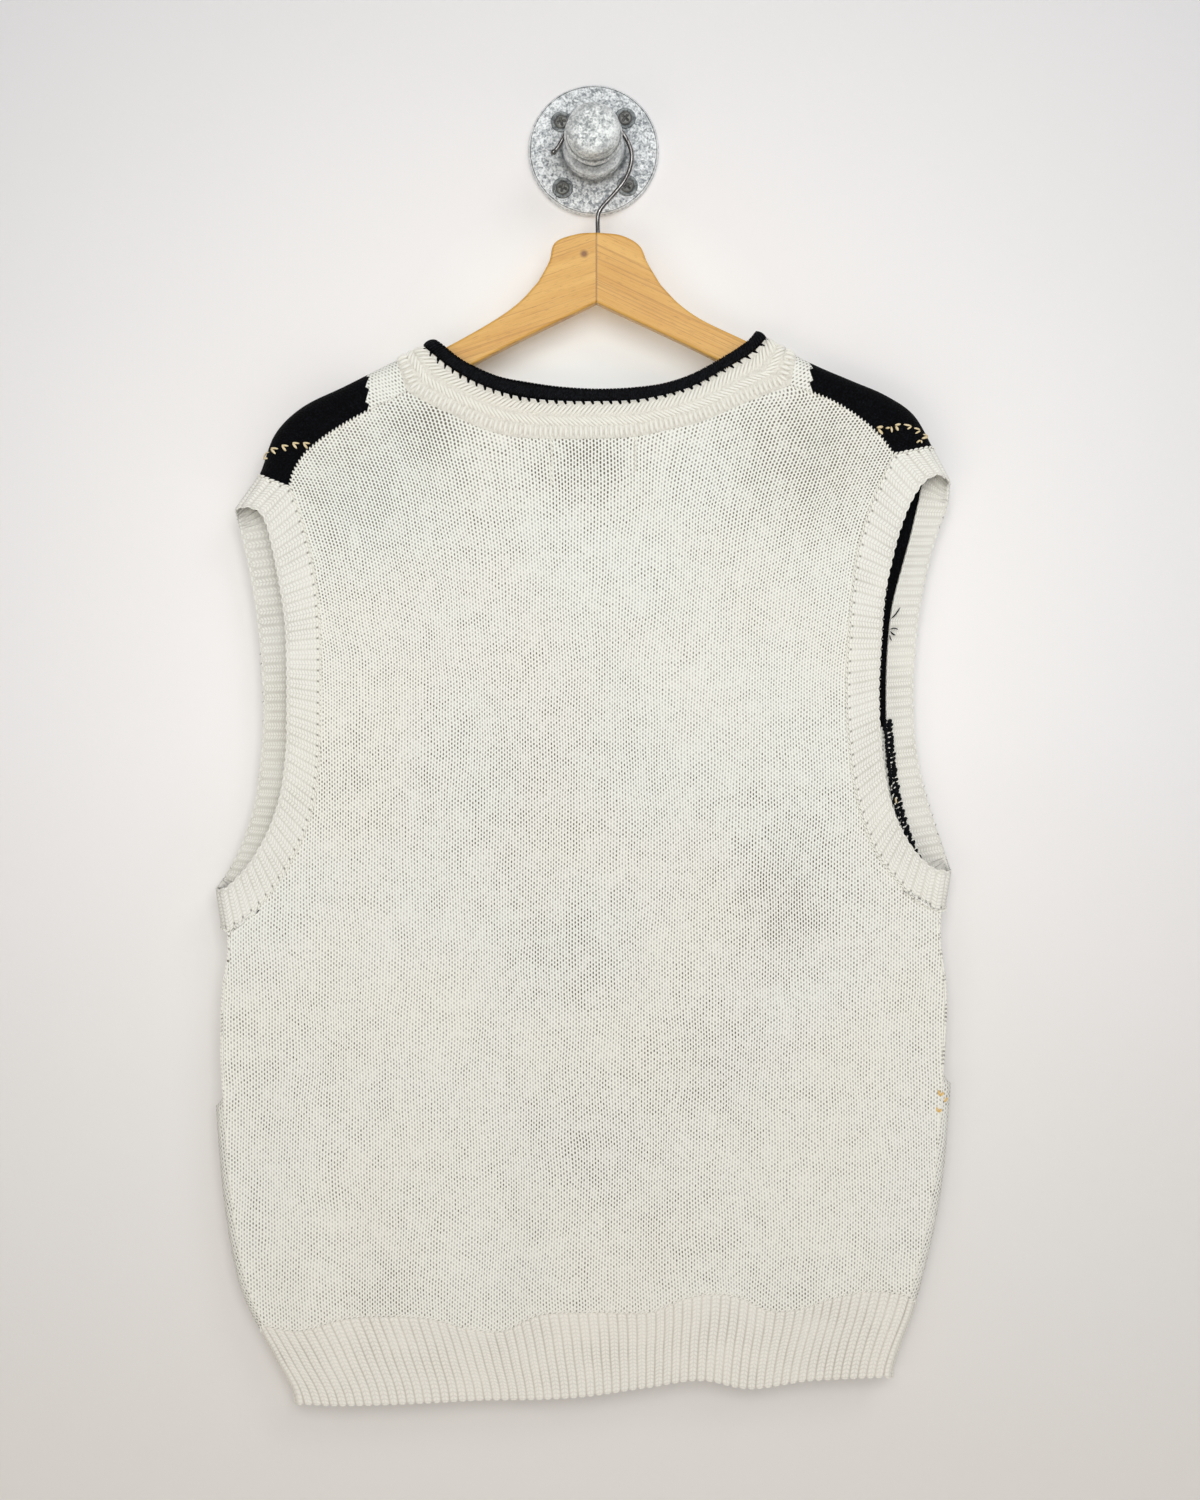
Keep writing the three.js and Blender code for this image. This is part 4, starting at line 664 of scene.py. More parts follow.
def foot_on(side, places):
    """Nearest outline point of one side, the direction into the cloth, the signed distance and the index."""
    line, inward = edge_lines[side], edge_inward[side]
    step = np.diff(line, axis=0)
    length = np.linalg.norm(step, axis=1)
    ahead = step / length[:, None]
    base, into = np.empty_like(places), np.empty_like(places)
    inside, index = np.empty(len(places)), np.empty(len(places))
    for part in np.array_split(np.arange(len(places)), len(places) // 6000 + 1):
        offset = places[part, None] - line[None, :-1]
        run = np.clip((offset * ahead).sum(2), 0, length)
        away = np.linalg.norm(offset - ahead * run[..., None], axis=2)
        nearest = away.argmin(1)
        rows = np.arange(len(part))
        share = run[rows, nearest] / length[nearest]
        base[part] = line[nearest] + step[nearest] * share[:, None]
        direction = mix(inward[nearest], inward[nearest + 1], share[:, None])
        sign = np.where(((places[part] - base[part]) * direction).sum(1) < 0, -1, 1)
        gap = away[rows, nearest]
        clear = gap > 0.5
        direction[clear] = (places[part] - base[part])[clear] / gap[clear, None] * sign[clear, None]
        into[part], inside[part], index[part] = direction, gap * sign, nearest + share
    return base, into, inside, index


def foot_of(places):
    left, right = foot_on("left", places), foot_on("right", places)
    nearer = left[2] < right[2]
    return [np.where(nearer.reshape((-1,) + (1,) * (a.ndim - 1)), a, b) for a, b in zip(left, right)]


def half_space(z):
    return mix(HALF_SPACE[0], HALF_SPACE[1],
               np.clip((z - SHOULDER_LEVEL) / (HEM_LEVEL - SHOULDER_LEVEL), 0, 1))


def fold_push(x, z, face):
    """How far folds and the soft blouse over the hem rib push a layer outwards."""
    push = np.zeros_like(x)
    for folds, side in ((BACK_FOLDS, -1), (FRONT_FOLDS, 1)):
        for low_x, low, high, lean, width, depth in folds:
            rise = (z - low) / (high - low)
            across = (x - low_x - lean * rise) / width
            swell = smooth_step(rise, -0.35, 0.12) * (1 - smooth_step(rise, 0.3, 1))
            push += np.where(face == side, depth * np.exp(-across ** 2) * swell, 0)
    above = z - np.interp(x, *np.transpose(RIB_TOP)) - BLOUSE_ABOVE
    return push + BLOUSE_DEPTH * np.exp(-(above / BLOUSE_HEIGHT) ** 2)


def on_layer(places, face, foot=None):
    """Middle of the cloth on the back (-1) or front (1) layer: rows of point and outward normal."""
    places = np.atleast_2d(np.asarray(places, float))
    base, into, inside = (foot if foot is not None else foot_of(places))[:3]
    face = np.broadcast_to(face, len(places))
    x, z = places.T
    space = half_space(base[:, 1])
    depth = np.maximum(inside - 1, 0)
    reach = np.minimum(depth / space, 1)
    rise = np.sqrt(1 - (1 - reach) ** 2)
    damp = smooth_step(depth, 3, 45)

    def shift(dx, dz):
        level = smooth_step(-(z + dz), -SHOULDER_LEVEL, -HEM_LEVEL)
        return mix(MID_DEPTH[0], MID_DEPTH[1], level) + face * fold_push(x + dx, z + dz, face) * damp

    slope_x, slope_z = shift(0.5, 0) - shift(-0.5, 0), shift(0, 0.5) - shift(0, -0.5)
    out = face * rise
    normal = np.column_stack([
        -(1 - reach) * into[:, 0] - out * slope_x, out, -(1 - reach) * into[:, 1] - out * slope_z,
    ])
    normal /= np.linalg.norm(normal, axis=1)[:, None]
    return np.column_stack([x, shift(0, 0) + out * space, z, normal])


def coons(bottom, top, left, right, across, upward):
    """Rows of places between four boundary lines that share their corners."""
    v, u = upward[:, None, None], across[None, :, None]
    rising = mix(bottom[None], top[None], v)
    crossing = mix(left[:, None], right[:, None], u)
    return rising + crossing - mix(mix(bottom[0], bottom[-1], u), mix(top[0], top[-1], u), v)


def outline_inset(side, z, inset):
    line = edge_lines[side]
    order = np.argsort(line[:, 1])
    turn = 1 if side == "left" else -1
    return np.column_stack([np.interp(z, line[order, 1], line[order, 0]) + turn * inset, z])


SIDE_ROWS, ARMHOLE_ROWS, SHOULDER_COLUMNS, NECK_COLUMNS = 76, 84, 44, 118
side_seam, armhole_seam, shoulder_seam = {}, {}, {}
for side in ("left", "right"):
    low = RIB_TOP[0] if side == "left" else RIB_TOP[-1]
    top = BACK_ARMHOLE[side][0]
    share = np.linspace(0, 1, SIDE_ROWS + 1)
    line = outline_inset(side, mix(low[1], top[1], share), SEAM_INSET)
    line[:, 0] = mix(line[:, 0], top[0], smooth_step(share, 0.85, 1))
    side_seam[side] = line
    armhole_seam[side] = smooth_line(BACK_ARMHOLE[side], ARMHOLE_ROWS)
    shoulder_seam[side] = smooth_line(SHOULDER_SEAM[side], SHOULDER_COLUMNS)

left = np.vstack([side_seam["left"], armhole_seam["left"][1:]])
right = np.vstack([side_seam["right"], armhole_seam["right"][1:]])
neck = smooth_line(NECK_SEAM[1:-1], NECK_COLUMNS)
top = np.vstack([shoulder_seam["left"], neck[1:-1], shoulder_seam["right"][::-1]])
across = mix(np.linspace(0, 1, len(top)), (top[:, 0] - top[0, 0]) / np.ptp(top[:, 0]), 0.6)
bottom_x = mix(left[0, 0], right[0, 0], across)
bottom = np.column_stack([bottom_x, np.interp(bottom_x, *smooth_line(RIB_TOP, 400).T)])
bottom[0], bottom[-1] = left[0], right[0]
upward = sum((line[:, 1] - line[0, 1]) / np.ptp(line[:, 1]) for line in (left, right)) / 2
back_places = coons(bottom, top, left, right, across, upward)
back_grid = on_layer(back_places.reshape(-1, 2), -1).reshape(*back_places.shape[:2], 6)


def with_narrow_edge(rows):
    """The same rows with one more just inside each end, so the shading turns sharply at the cloth's edge."""
    first = mix(rows[0], rows[1], 0.07)
    last = mix(rows[-1], rows[-2], 0.07)
    return np.concatenate([rows[:1], first[None], rows[1:-1], last[None], rows[-1:]])


def knit_sheet(name, grid, lift, weave, material, closed=False, wall=YARN_WALL):
    """Cloth over a grid of points and normals in millimetres: lift raises its face, weave is its UV map."""
    grid, lift, weave = (with_narrow_edge(rows) for rows in (grid, lift, weave))
    if not closed:
        grid, lift, weave = (
            with_narrow_edge(rows.swapaxes(0, 1)).swapaxes(0, 1) for rows in (grid, lift, weave)
        )
    rows, columns = grid.shape[:2]
    outer = (grid[..., :3] + grid[..., 3:] * (1.0 + lift)[..., None]) / 1000
    spans = columns if closed else columns - 1
    row, column = np.meshgrid(np.arange(rows - 1), np.arange(spans), indexing="ij")
    corners = np.stack([
        row * columns + column, row * columns + (column + 1) % columns,
        (row + 1) * columns + (column + 1) % columns, (row + 1) * columns + column,
    ], axis=-1).reshape(-1, 4)
    wide = weave.shape[1]
    marks = np.stack([
        row * wide + column, row * wide + column + 1,
        (row + 1) * wide + column + 1, (row + 1) * wide + column,
    ], axis=-1).reshape(-1, 4)
    flat = outer.reshape(-1, 3)
    first = np.cross(flat[corners[:, 1]] - flat[corners[:, 0]], flat[corners[:, 3]] - flat[corners[:, 0]])
    if (first * grid[..., 3:].reshape(-1, 3)[corners[:, 0]]).sum() < 0:
        corners, marks = corners[:, ::-1], marks[:, ::-1]
    piece = mesh_object(name, flat.tolist(), corners.tolist(), material)
    uv = piece.data.uv_layers.new(name="weave")
    uv.data.foreach_set("uv", weave.reshape(-1, 2)[marks.reshape(-1)].astype(np.float32).ravel())
    shell = piece.modifiers.new("yarn_wall", "SOLIDIFY")
    shell.thickness = wall / 1000
    shell.offset = -1
    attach(piece, "root")
    return piece


def shader_group(name, entries, results):
    """A shader node group; returns it with its inputs and its outputs."""
    tree = bpy.data.node_groups.new(name, "ShaderNodeTree")
    for label, kind in entries:
        tree.interface.new_socket(label, in_out="INPUT", socket_type="NodeSocket" + kind)
    for label, kind in results:
        tree.interface.new_socket(label, in_out="OUTPUT", socket_type="NodeSocket" + kind)
    return tree, tree.nodes.new("NodeGroupInput").outputs, tree.nodes.new("NodeGroupOutput").inputs


def placed_group(tree, group, **values):
    node = tree.nodes.new("ShaderNodeGroup")
    node.node_tree = group
    for label, value in values.items():
        wire(tree, value, node.inputs[label.replace("_", " ")])
    return node.outputs


# Stocking stitch: each loop leaves a small gap between its two legs and one between itself and its neighbour,
# so the gaps stand in columns half a wale apart, each column half a course lower than the last.
stocking_stitch, entry, result = shader_group(
    "stocking_stitch",
    [("Stitches", "Vector"), ("Gap Width", "Float"), ("Gap Height", "Float")],
    [("Gap", "Float"), ("Relief", "Float")],
)
tree = stocking_stitch
waver = vectors(tree, "MULTIPLY", entry["Stitches"], (0.055, 0.03, 0.0))
drift = tree.nodes.new("ShaderNodeTexNoise")
drift.inputs["Scale"].default_value = 1.0
drift.inputs["Detail"].default_value = 3.0
tree.links.new(waver, drift.inputs["Vector"])
shifted = vectors(
    tree, "MULTIPLY", vectors(tree, "SUBTRACT", drift.outputs["Color"], (0.5, 0.5, 0.5)), (2.4, 0.9, 0.0)
)
stitches = vectors(tree, "ADD", entry["Stitches"], shifted)
gaps = 0.0
for corner in ((0.0, 0.0, 0.0), (0.5, 0.5, 0.0)):
    moved = vectors(tree, "ADD", stitches, corner)
    local = vectors(tree, "SUBTRACT", vectors(tree, "FRACTION", moved), (0.5, 0.5, 0.0))
    x, y, _ = split(tree, local)
    near = maths(tree, "ADD", maths(tree, "POWER", maths(tree, "ABSOLUTE", maths(
        tree, "DIVIDE", x, entry["Gap Width"])), 2.0), maths(tree, "POWER", maths(
            tree, "ABSOLUTE", maths(tree, "DIVIDE", y, entry["Gap Height"])), 2.0))
    chance = tree.nodes.new("ShaderNodeTexWhiteNoise")
    chance.noise_dimensions = "3D"
    tree.links.new(vectors(tree, "ADD", vectors(tree, "FLOOR", moved), corner), chance.inputs["Vector"])
    depth = maths(tree, "MULTIPLY_ADD", chance.outputs["Value"], 0.75, 0.6)
    gaps = maths(tree, "MULTIPLY_ADD", ranged(tree, near, 0.35, 1.35, 1.0, 0.0), depth, gaps)
across_wale = maths(tree, "MULTIPLY", split(tree, stitches)[0], 4 * math.pi)
round_leg = maths(tree, "MULTIPLY_ADD", maths(tree, "COSINE", across_wale), -0.12, 0.12)
tree.links.new(gaps, result["Gap"])
tree.links.new(maths(tree, "SUBTRACT", round_leg, gaps), result["Relief"])

# Yarn tone: slow drifts between a cooler and a warmer white, with a fine mottle, and painted shade that makes
# it darker and warmer towards the hem.
yarn_tone, entry, result = shader_group(
    "yarn_tone",
    [("Place", "Vector"), ("Cool", "Color"), ("Warm", "Color")],
    [("Tone", "Color"), ("Fibre", "Float")],
)
tree = yarn_tone
slow = noise(tree, entry["Place"], 9.0, 3.0)
fibre = noise(tree, entry["Place"], 700.0, 3.0)
tone = mixed(tree, ranged(tree, slow, 0.35, 0.65), entry["Cool"], entry["Warm"])
lighter = mixed(tree, ranged(tree, fibre, 0.35, 0.7, 0.0, 0.5), tone, (1.0, 1.0, 0.98, 1))
tone = mixed(tree, 0.22, tone, lighter)
# Painted shade: darker and warmer towards the hem.
painted_shade_to_hem = ranged(tree, split(tree, entry["Place"])[2], -0.85, -0.35, 0.55, 0.0)
tree.links.new(mixed(tree, painted_shade_to_hem, tone, (0.73, 0.695, 0.63, 1)), result["Tone"])
tree.links.new(fibre, result["Fibre"])


YARN_SKIN = {"Sheen_Weight": 0.02, "Sheen_Roughness": 0.6, "Specular_IOR_Level": 0.06}


def white_knit(name, openness, dark=(0.17, 0.155, 0.125, 1), gap_size=(0.13, 0.33)):
    """Off-white stocking stitch with painted shade in its gaps; openness says how dark the gaps are: a number
    or an attribute's name.
    """
    material, tree, shader, places = new_material(name, 0.92, **YARN_SKIN)
    uv = tree.nodes.new("ShaderNodeUVMap")
    uv.uv_map = "weave"
    count = vectors(tree, "MULTIPLY", uv.outputs[0], (1 / WALE, 1 / COURSE, 0.0))
    yarn = placed_group(tree, yarn_tone, Place=places, Cool=(0.858, 0.870, 0.815, 1),
                        Warm=(0.868, 0.858, 0.79, 1))
    if isinstance(openness, str):
        attribute = tree.nodes.new("ShaderNodeAttribute")
        attribute.attribute_name = openness
        openness = attribute.outputs["Fac"]
        spread = ranged(tree, openness, 0.8, 1.5)
        gap_size = [maths(tree, "MULTIPLY_ADD", spread, 0.2 * size, size) for size in gap_size]
    knit = placed_group(tree, stocking_stitch, Stitches=count, Gap_Width=gap_size[0], Gap_Height=gap_size[1])
    patchy = noise(tree, vectors(tree, "MULTIPLY", places, (1.0, 0.0, 1.0)), 60.0, 3.0)
    openness = maths(tree, "MULTIPLY", openness, ranged(tree, patchy, 0.3, 0.7, 0.65, 1.3))
    gap = maths(tree, "MULTIPLY", knit["Gap"], openness)
    # Painted shade: the gaps between the legs of the loops are coloured dark.
    tone = mixed(tree, gap, yarn["Tone"], dark)
    tree.links.new(tone, shader.inputs["Base Color"])
    relief = maths(tree, "MULTIPLY_ADD", yarn["Fibre"], 0.12, knit["Relief"])
    bumped(tree, shader, relief, 0.45, 0.0007)
    return material, tree, shader, places, tone


# Where the back's gaps show darker painted shade, because the cloth behind hangs away: x, z, radius, strength
OPEN_PATCHES = [
    (-110, -190, 22, 0.45), (-6, -212, 32, 0.50), (150, -208, 46, 0.34), (-170, -235, 60, 0.22),
    (-169, -430, 26, 0.16), (-45, -428, 80, 0.17), (130, -480, 46, 0.24), (124, -525, 30, 0.28),
    (-20, -550, 42, 0.22), (-5, -675, 46, 0.20), (78, -620, 44, 0.20), (120, -785, 24, 0.20),
    (-135, -782, 26, 0.24), (-205, -620, 40, 0.10), (205, -420, 0.1, 0.0), (60, -740, 34, 0.14),
    (68, -372, 30, -0.10), (78, -780, 30, -0.10), (-90, -560, 60, -0.05), (150, -700, 50, -0.05),
]
openness = np.full(back_grid.shape[:2], 0.62)
for x, z, radius, strength in OPEN_PATCHES:
    away = np.hypot(back_grid[..., 0] - x, back_grid[..., 2] - z)
    openness += 1.4 * strength * np.exp(-(away / radius) ** 2)
# Bigger gaps with more painted shade high on the back, away from the middle.
raised = smooth_step(back_grid[..., 2], -330, -200)
openness += 0.26 * raised * smooth_step(np.abs(back_grid[..., 0]), 20, 120)


def wale_map(x, z):
    """Stitch coordinates: wales spread towards the shoulders, and courses sink at both sides there."""
    rise = np.clip((z + 380) / 180, 0, 1.15)
    return np.stack([x * (1 - 0.216 * rise ** 2), z + 0.0011 * x ** 2 * rise], axis=-1)


back_white = white_knit("white_stocking_stitch_back", "openness")[0]
back_panel = knit_sheet("vest_back", back_grid, np.zeros(back_grid.shape[:2]),
                        wale_map(back_grid[..., 0], back_grid[..., 2]), back_white)
attribute = back_panel.data.attributes.new("openness", "FLOAT", "POINT")
openness = with_narrow_edge(with_narrow_edge(openness).T).T
attribute.data.foreach_set("value", openness.astype(np.float32).ravel())
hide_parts("back_panel")

# Front panel: the same yarn, knitted to a V neck. It comes over both shoulders and round both sides to seams
# on the back. A black block is knitted in at each shoulder, with a stepped edge, down to the armhole.
FRONT_ARMHOLE = {
    "left": [
        (-223, -225.5), (-215, -240), (-208, -262), (-204, -295), (-202, -335), (-202, -380), (-206, -418),
        (-213, -452), (-224, -483), (-237, -511), (-249, -531),
    ],
    "right": [
        (226.5, -208), (224, -222), (218.5, -243), (213, -266), (207, -288), (201, -312), (198, -340),
        (197, -372), (198, -402), (203, -438), (212, -470), (224, -497), (236, -517),
    ],
}
FRONT_NECK = {
    "left": [
        (-130, -149), (-134, -186), (-120, -222), (-101, -264),
        (-81, -302), (-58, -342), (-28, -376), (0, -388),
    ],
    "right": [
        (134, -145), (137, -184), (124, -221), (105, -263), (84, -302), (60, -342), (29, -376), (0, -388),
    ],
}
NECK_BEFORE_TURN = {"left": (-131.5, -164), "right": (135.5, -160)}
TURN_START, FRONT_RIB_TOP = 15.0, -787.0
UNDERARM_RISE = 0.9
EASED_ROWS, EASED_COLUMNS, EASING_PASSES = 34, 40, 40
BLOCK_EDGE = {"left": -150.5, "right": 145.0}


def place_along(base, into, flat_inside, face):
    """A place of the flat pattern plane on the hanging cloth, which turns round the outline's edge."""
    space = half_space(base[:, 1])
    run = flat_inside - 1
    length, quarter = np.abs(run), space * math.pi / 2
    turning = space * (1 - np.cos(np.minimum(length, quarter) / space))
    fading = space + (length - quarter) * (TURN_FADE - 1) / (TURN_FADE - math.pi / 2)
    depth = np.where(length < quarter, turning, np.where(length < space * TURN_FADE, fading, length))
    places = base + into * (depth + 1)[:, None]
    return on_layer(places, np.where(run >= 0, face, -face), (base, into, depth + 1))


def place_flat(places, face):
    base, into, inside, _ = foot_of(places)
    return place_along(base, into, inside, face)


def flatten(places, place_face, face):
    """Back from a place on one layer to the other's flat pattern plane; also the flat distance inside."""
    base, into, inside, _ = foot_of(np.atleast_2d(np.asarray(places, float)))
    space = half_space(base[:, 1])
    depth = np.maximum(inside - 1, 0)
    quarter = space * math.pi / 2
    turning = space * np.arccos(np.clip(1 - depth / space, -1, 1))
    fading = quarter + (depth - space) * (TURN_FADE - math.pi / 2) / (TURN_FADE - 1)
    length = np.where(depth < space, turning, np.where(depth < space * TURN_FADE, fading, depth))
    run = np.where(np.broadcast_to(place_face, len(depth)) == face, length, -length) + 1
    return base + into * run[:, None], into, run


def edge_frame(side, index):
    low = np.clip(np.floor(index).astype(int), 0, len(edge_lines[side]) - 2)
    share = (index - low)[:, None]
    base = mix(edge_lines[side][low], edge_lines[side][low + 1], share)
    return base, mix(edge_inward[side][low], edge_inward[side][low + 1], share)


def index_on(side, places):
    return foot_on(side, np.atleast_2d(np.asarray(places, float)))[3]


FRONT_STRIP, BACK_STRIP = 9, 14


def front_half(side):
    """Points of one half, and its flat places: a patch up to the shoulder, then the strip over it."""
    shares = np.linspace(0, 1, SHOULDER_COLUMNS + 1) ** 1.15
    fold = [index_on(side, FRONT_ARMHOLE[side][0])[0], index_on(side, FRONT_NECK[side][0])[0]]
    near = [index_on(side, FRONT_ARMHOLE[side][1])[0], index_on(side, NECK_BEFORE_TURN[side])[0]]
    seam = shoulder_seam[side][np.round(np.linspace(0, SHOULDER_COLUMNS, SHOULDER_COLUMNS + 1)).astype(int)]
    stages = [
        (mix(near[0], near[1], shares), np.full(len(shares), TURN_START)),
        (mix(fold[0], fold[1], shares), np.ones(len(shares))),
        (index_on(side, seam), flatten(seam, -1, 1)[2] + 0.3),
    ]

    def on_stage(index, inside):
        base, into = edge_frame(side, index)
        return base + into * inside[:, None], place_along(base, into, inside, 1)

    before_turn = on_stage(*stages[0])[0]
    flat_seam, into, _ = flatten(side_seam[side], -1, 1)
    side_line = flat_seam + into * 0.3
    underarm = outline_inset(side, side_seam[side][-1:, 1] + UNDERARM_RISE, 0.0)
    base, into = edge_frame(side, index_on(side, underarm))
    down = flatten(FRONT_ARMHOLE[side][1:-1], 1, 1)[0]
    armhole = smooth_line(np.vstack([base + into, down[::-1], before_turn[:1]]), ARMHOLE_ROWS - 12)
    outer = np.vstack([side_line, armhole])
    rows_below = int(len(outer) * 0.62)
    rise = np.linspace(0, 1, rows_below + 1) ** 1.1
    point = FRONT_NECK[side][-1]
    below = np.column_stack([np.zeros(len(rise)), mix(FRONT_RIB_TOP, point[1], rise)])
    leg = flatten(FRONT_NECK[side][1:], 1, 1)[0][::-1]
    above = smooth_line(np.vstack([leg, before_turn[-1:]]), len(outer) - len(below))
    inner = np.vstack([below, above[1:]])
    across = mix(np.linspace(0, 1, len(shares)), shares, 0.75)
    hem = mix(outer[0], inner[0], across[:, None])
    hem[:, 1] -= 4 * np.sin(across * math.pi)
    upward = sum((line[:, 1] - line[0, 1]) / np.ptp(line[:, 1]) for line in (outer, inner)) / 2
    flat = coons(hem, before_turn, outer, inner, across, upward)
    points = place_flat(flat.reshape(-1, 2), 1).reshape(*flat.shape[:2], 6)
    eased = slice(max(1, len(side_line) - EASED_ROWS), len(side_line) + EASED_ROWS), slice(1, EASED_COLUMNS)
    for _ in range(EASING_PASSES):
        around = points.copy()
        around[1:-1, 1:-1] = (points[:-2, 1:-1] + points[2:, 1:-1] + points[1:-1, :-2] + points[1:-1, 2:]) / 4
        points[eased] = around[eased]
    points[..., 3:] /= np.linalg.norm(points[..., 3:], axis=-1)[..., None]
    flats, grids = [flat], [points]
    for (from_stage, to_stage), count in (((0, 1), FRONT_STRIP), ((1, 2), BACK_STRIP)):
        for step in range(1, count + 1):
            index = mix(stages[from_stage][0], stages[to_stage][0], step / count)
            inside = mix(stages[from_stage][1], stages[to_stage][1], step / count)
            flat_row, point_row = on_stage(index, inside)
            flats.append(flat_row[None])
            grids.append(point_row[None])
    return np.concatenate(grids), np.concatenate(flats), rows_below


front = {side: front_half(side) for side in ("left", "right")}
FOLD_ROW = len(front["left"][0]) - 1 - BACK_STRIP


def colour_block(tree, places, uv):
    """1 where the black yarn is knitted in: outside a stepped edge, above the lower end of each armhole."""
    x, _, z = split(tree, places)
    steps = maths(tree, "PINGPONG", maths(tree, "DIVIDE", split(tree, uv)[1], COURSE), 0.9)
    step = maths(tree, "MULTIPLY_ADD", steps, 0.0027, -0.0012)
    drop = maths(
        tree, "MULTIPLY", maths(tree, "MAXIMUM", maths(tree, "MULTIPLY_ADD", z, -1.0, -0.23), 0.0), 0.2
    )
    reach = maths(tree, "ADD", drop, step)
    right = maths(tree, "SUBTRACT", maths(tree, "SUBTRACT", x, BLOCK_EDGE["right"] / 1000), reach)
    left = maths(tree, "SUBTRACT", maths(tree, "SUBTRACT", BLOCK_EDGE["left"] / 1000, x), reach)
    outside = maths(tree, "MAXIMUM", left, right)
    high = maths(tree, "ADD", z, maths(tree, "MULTIPLY_ADD", steps, 0.003, 0.391))
    return maths(
        tree, "MULTIPLY", ranged(tree, outside, -0.0002, 0.0002), ranged(tree, high, -0.0003, 0.0003)
    )


front_white, tree, shader, places, white = white_knit("white_and_black_stocking_stitch_front", 0.7)
uv = tree.nodes.new("ShaderNodeUVMap")
uv.uv_map = "weave"
block = colour_block(tree, places, uv.outputs[0])
count = vectors(tree, "MULTIPLY", uv.outputs[0], (1 / WALE, 1 / COURSE, 0.0))
knit = placed_group(tree, stocking_stitch, Stitches=count, Gap_Width=0.13, Gap_Height=0.33)
sheen_spots = noise(tree, places, 900.0, 2.0)
black = mixed(
    tree, ranged(tree, sheen_spots, 0.45, 0.75), (0.001, 0.001, 0.0015, 1), (0.006, 0.007, 0.010, 1)
)
# Painted shade: the gaps of the black knit are coloured darker still.
black = mixed(tree, maths(tree, "MULTIPLY", knit["Gap"], 0.7), black, (0.001, 0.001, 0.001, 1))
tree.links.new(mixed(tree, block, white, black), shader.inputs["Base Color"])

middle = SHOULDER_COLUMNS
rows_below = front["left"][2]
halves, maps = [], []
for side in ("left", "right"):
    points, flat, _ = front[side]
    halves.append(points if side == "left" else points[:, ::-1])
    maps.append(flat if side == "left" else flat[:, ::-1])
front_pieces = []
for side, points, flat in zip(("left", "right"), halves, maps):
    piece = knit_sheet("vest_front_" + side + "_half", points, np.zeros(points.shape[:2]), flat, front_white)
    front_pieces.append(piece)
shape = bmesh.new()
for piece in front_pieces:
    shape.from_mesh(piece.data)
seam_line = [
    v for v in shape.verts if abs(v.co.x) < 0.0002 and v.co.z < FRONT_NECK["left"][-1][1] / 1000 + 0.0005
]
bmesh.ops.remove_doubles(shape, verts=seam_line, dist=0.0002)
shape.to_mesh(front_pieces[0].data)
shape.free()
front_pieces[0].name = "vest_front"
bpy.data.objects.remove(front_pieces[1])
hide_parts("front_panel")

# Hem ribs, back and front: 1x1 rib picked up from each panel's lower edge, 68 ribs across, which draws the
# cloth in so that it blouses above. The cast-on edge turns each rib's end into a small knob.
HEM_RIBS, RIB_STEPS, RIB_ROWS = 68, 10, 30
RIB_HEIGHT = 0.95
HEM_EDGE = [
    (-194, -848), (-170, -849), (-85, -846), (-9, -843), (35, -837), (72, -832), (105, -838), (148, -832),
    (196, -830),
]
FRONT_HEM_RISE = 4.0

rib_relief, entry, result = shader_group(
    "rib_relief", [("Ribs", "Float"), ("Along", "Float"), ("Stitch", "Float"), ("Turn", "Float")],
    [("Groove", "Float"), ("Relief", "Float"), ("Loop", "Float"), ("Hole", "Float")],
)
tree = rib_relief
phase = maths(tree, "FRACT", entry["Ribs"])
from_ridge = maths(tree, "ABSOLUTE", maths(tree, "SUBTRACT", phase, 0.5))
past = maths(
    tree, "MAXIMUM", maths(tree, "DIVIDE", maths(tree, "SUBTRACT", entry["Along"], entry["Turn"]), 7.0), 0.0
)
round_end = maths(tree, "SQRT", maths(tree, "ADD", maths(tree, "MULTIPLY", from_ridge, from_ridge),
                                      maths(tree, "MULTIPLY", past, past)))
groove = maths(tree, "SUBTRACT", ranged(tree, round_end, 0.36, 0.49), ranged(tree, round_end, 0.52, 0.62))
hole = maths(tree, "MULTIPLY", ranged(tree, from_ridge, 0.36, 0.47), ranged(tree, maths(
    tree, "ABSOLUTE", maths(tree, "SUBTRACT", entry["Along"], 1.9)), 0.35, 0.9, 1.0, 0.0))
slant = maths(tree, "MULTIPLY_ADD", from_ridge, -1.3, maths(tree, "DIVIDE", entry["Along"], entry["Stitch"]))
loop = maths(
    tree, "MULTIPLY_ADD", maths(tree, "COSINE", maths(tree, "MULTIPLY", slant, 2 * math.pi)), 0.5, 0.5
)
between_legs = ranged(tree, from_ridge, 0.0, 0.07, 1.0, 0.0)
hollow = maths(tree, "MAXIMUM", maths(tree, "POWER", loop, 3.0), between_legs)
loops = maths(tree, "MULTIPLY", hollow, maths(tree, "SUBTRACT", 1.0, groove))
tree.links.new(groove, result["Groove"])
tree.links.new(hole, result["Hole"])
tree.links.new(loops, result["Loop"])
tree.links.new(
    maths(tree, "MULTIPLY_ADD", loops, -0.5, maths(tree, "MULTIPLY", groove, -0.6)), result["Relief"]
)


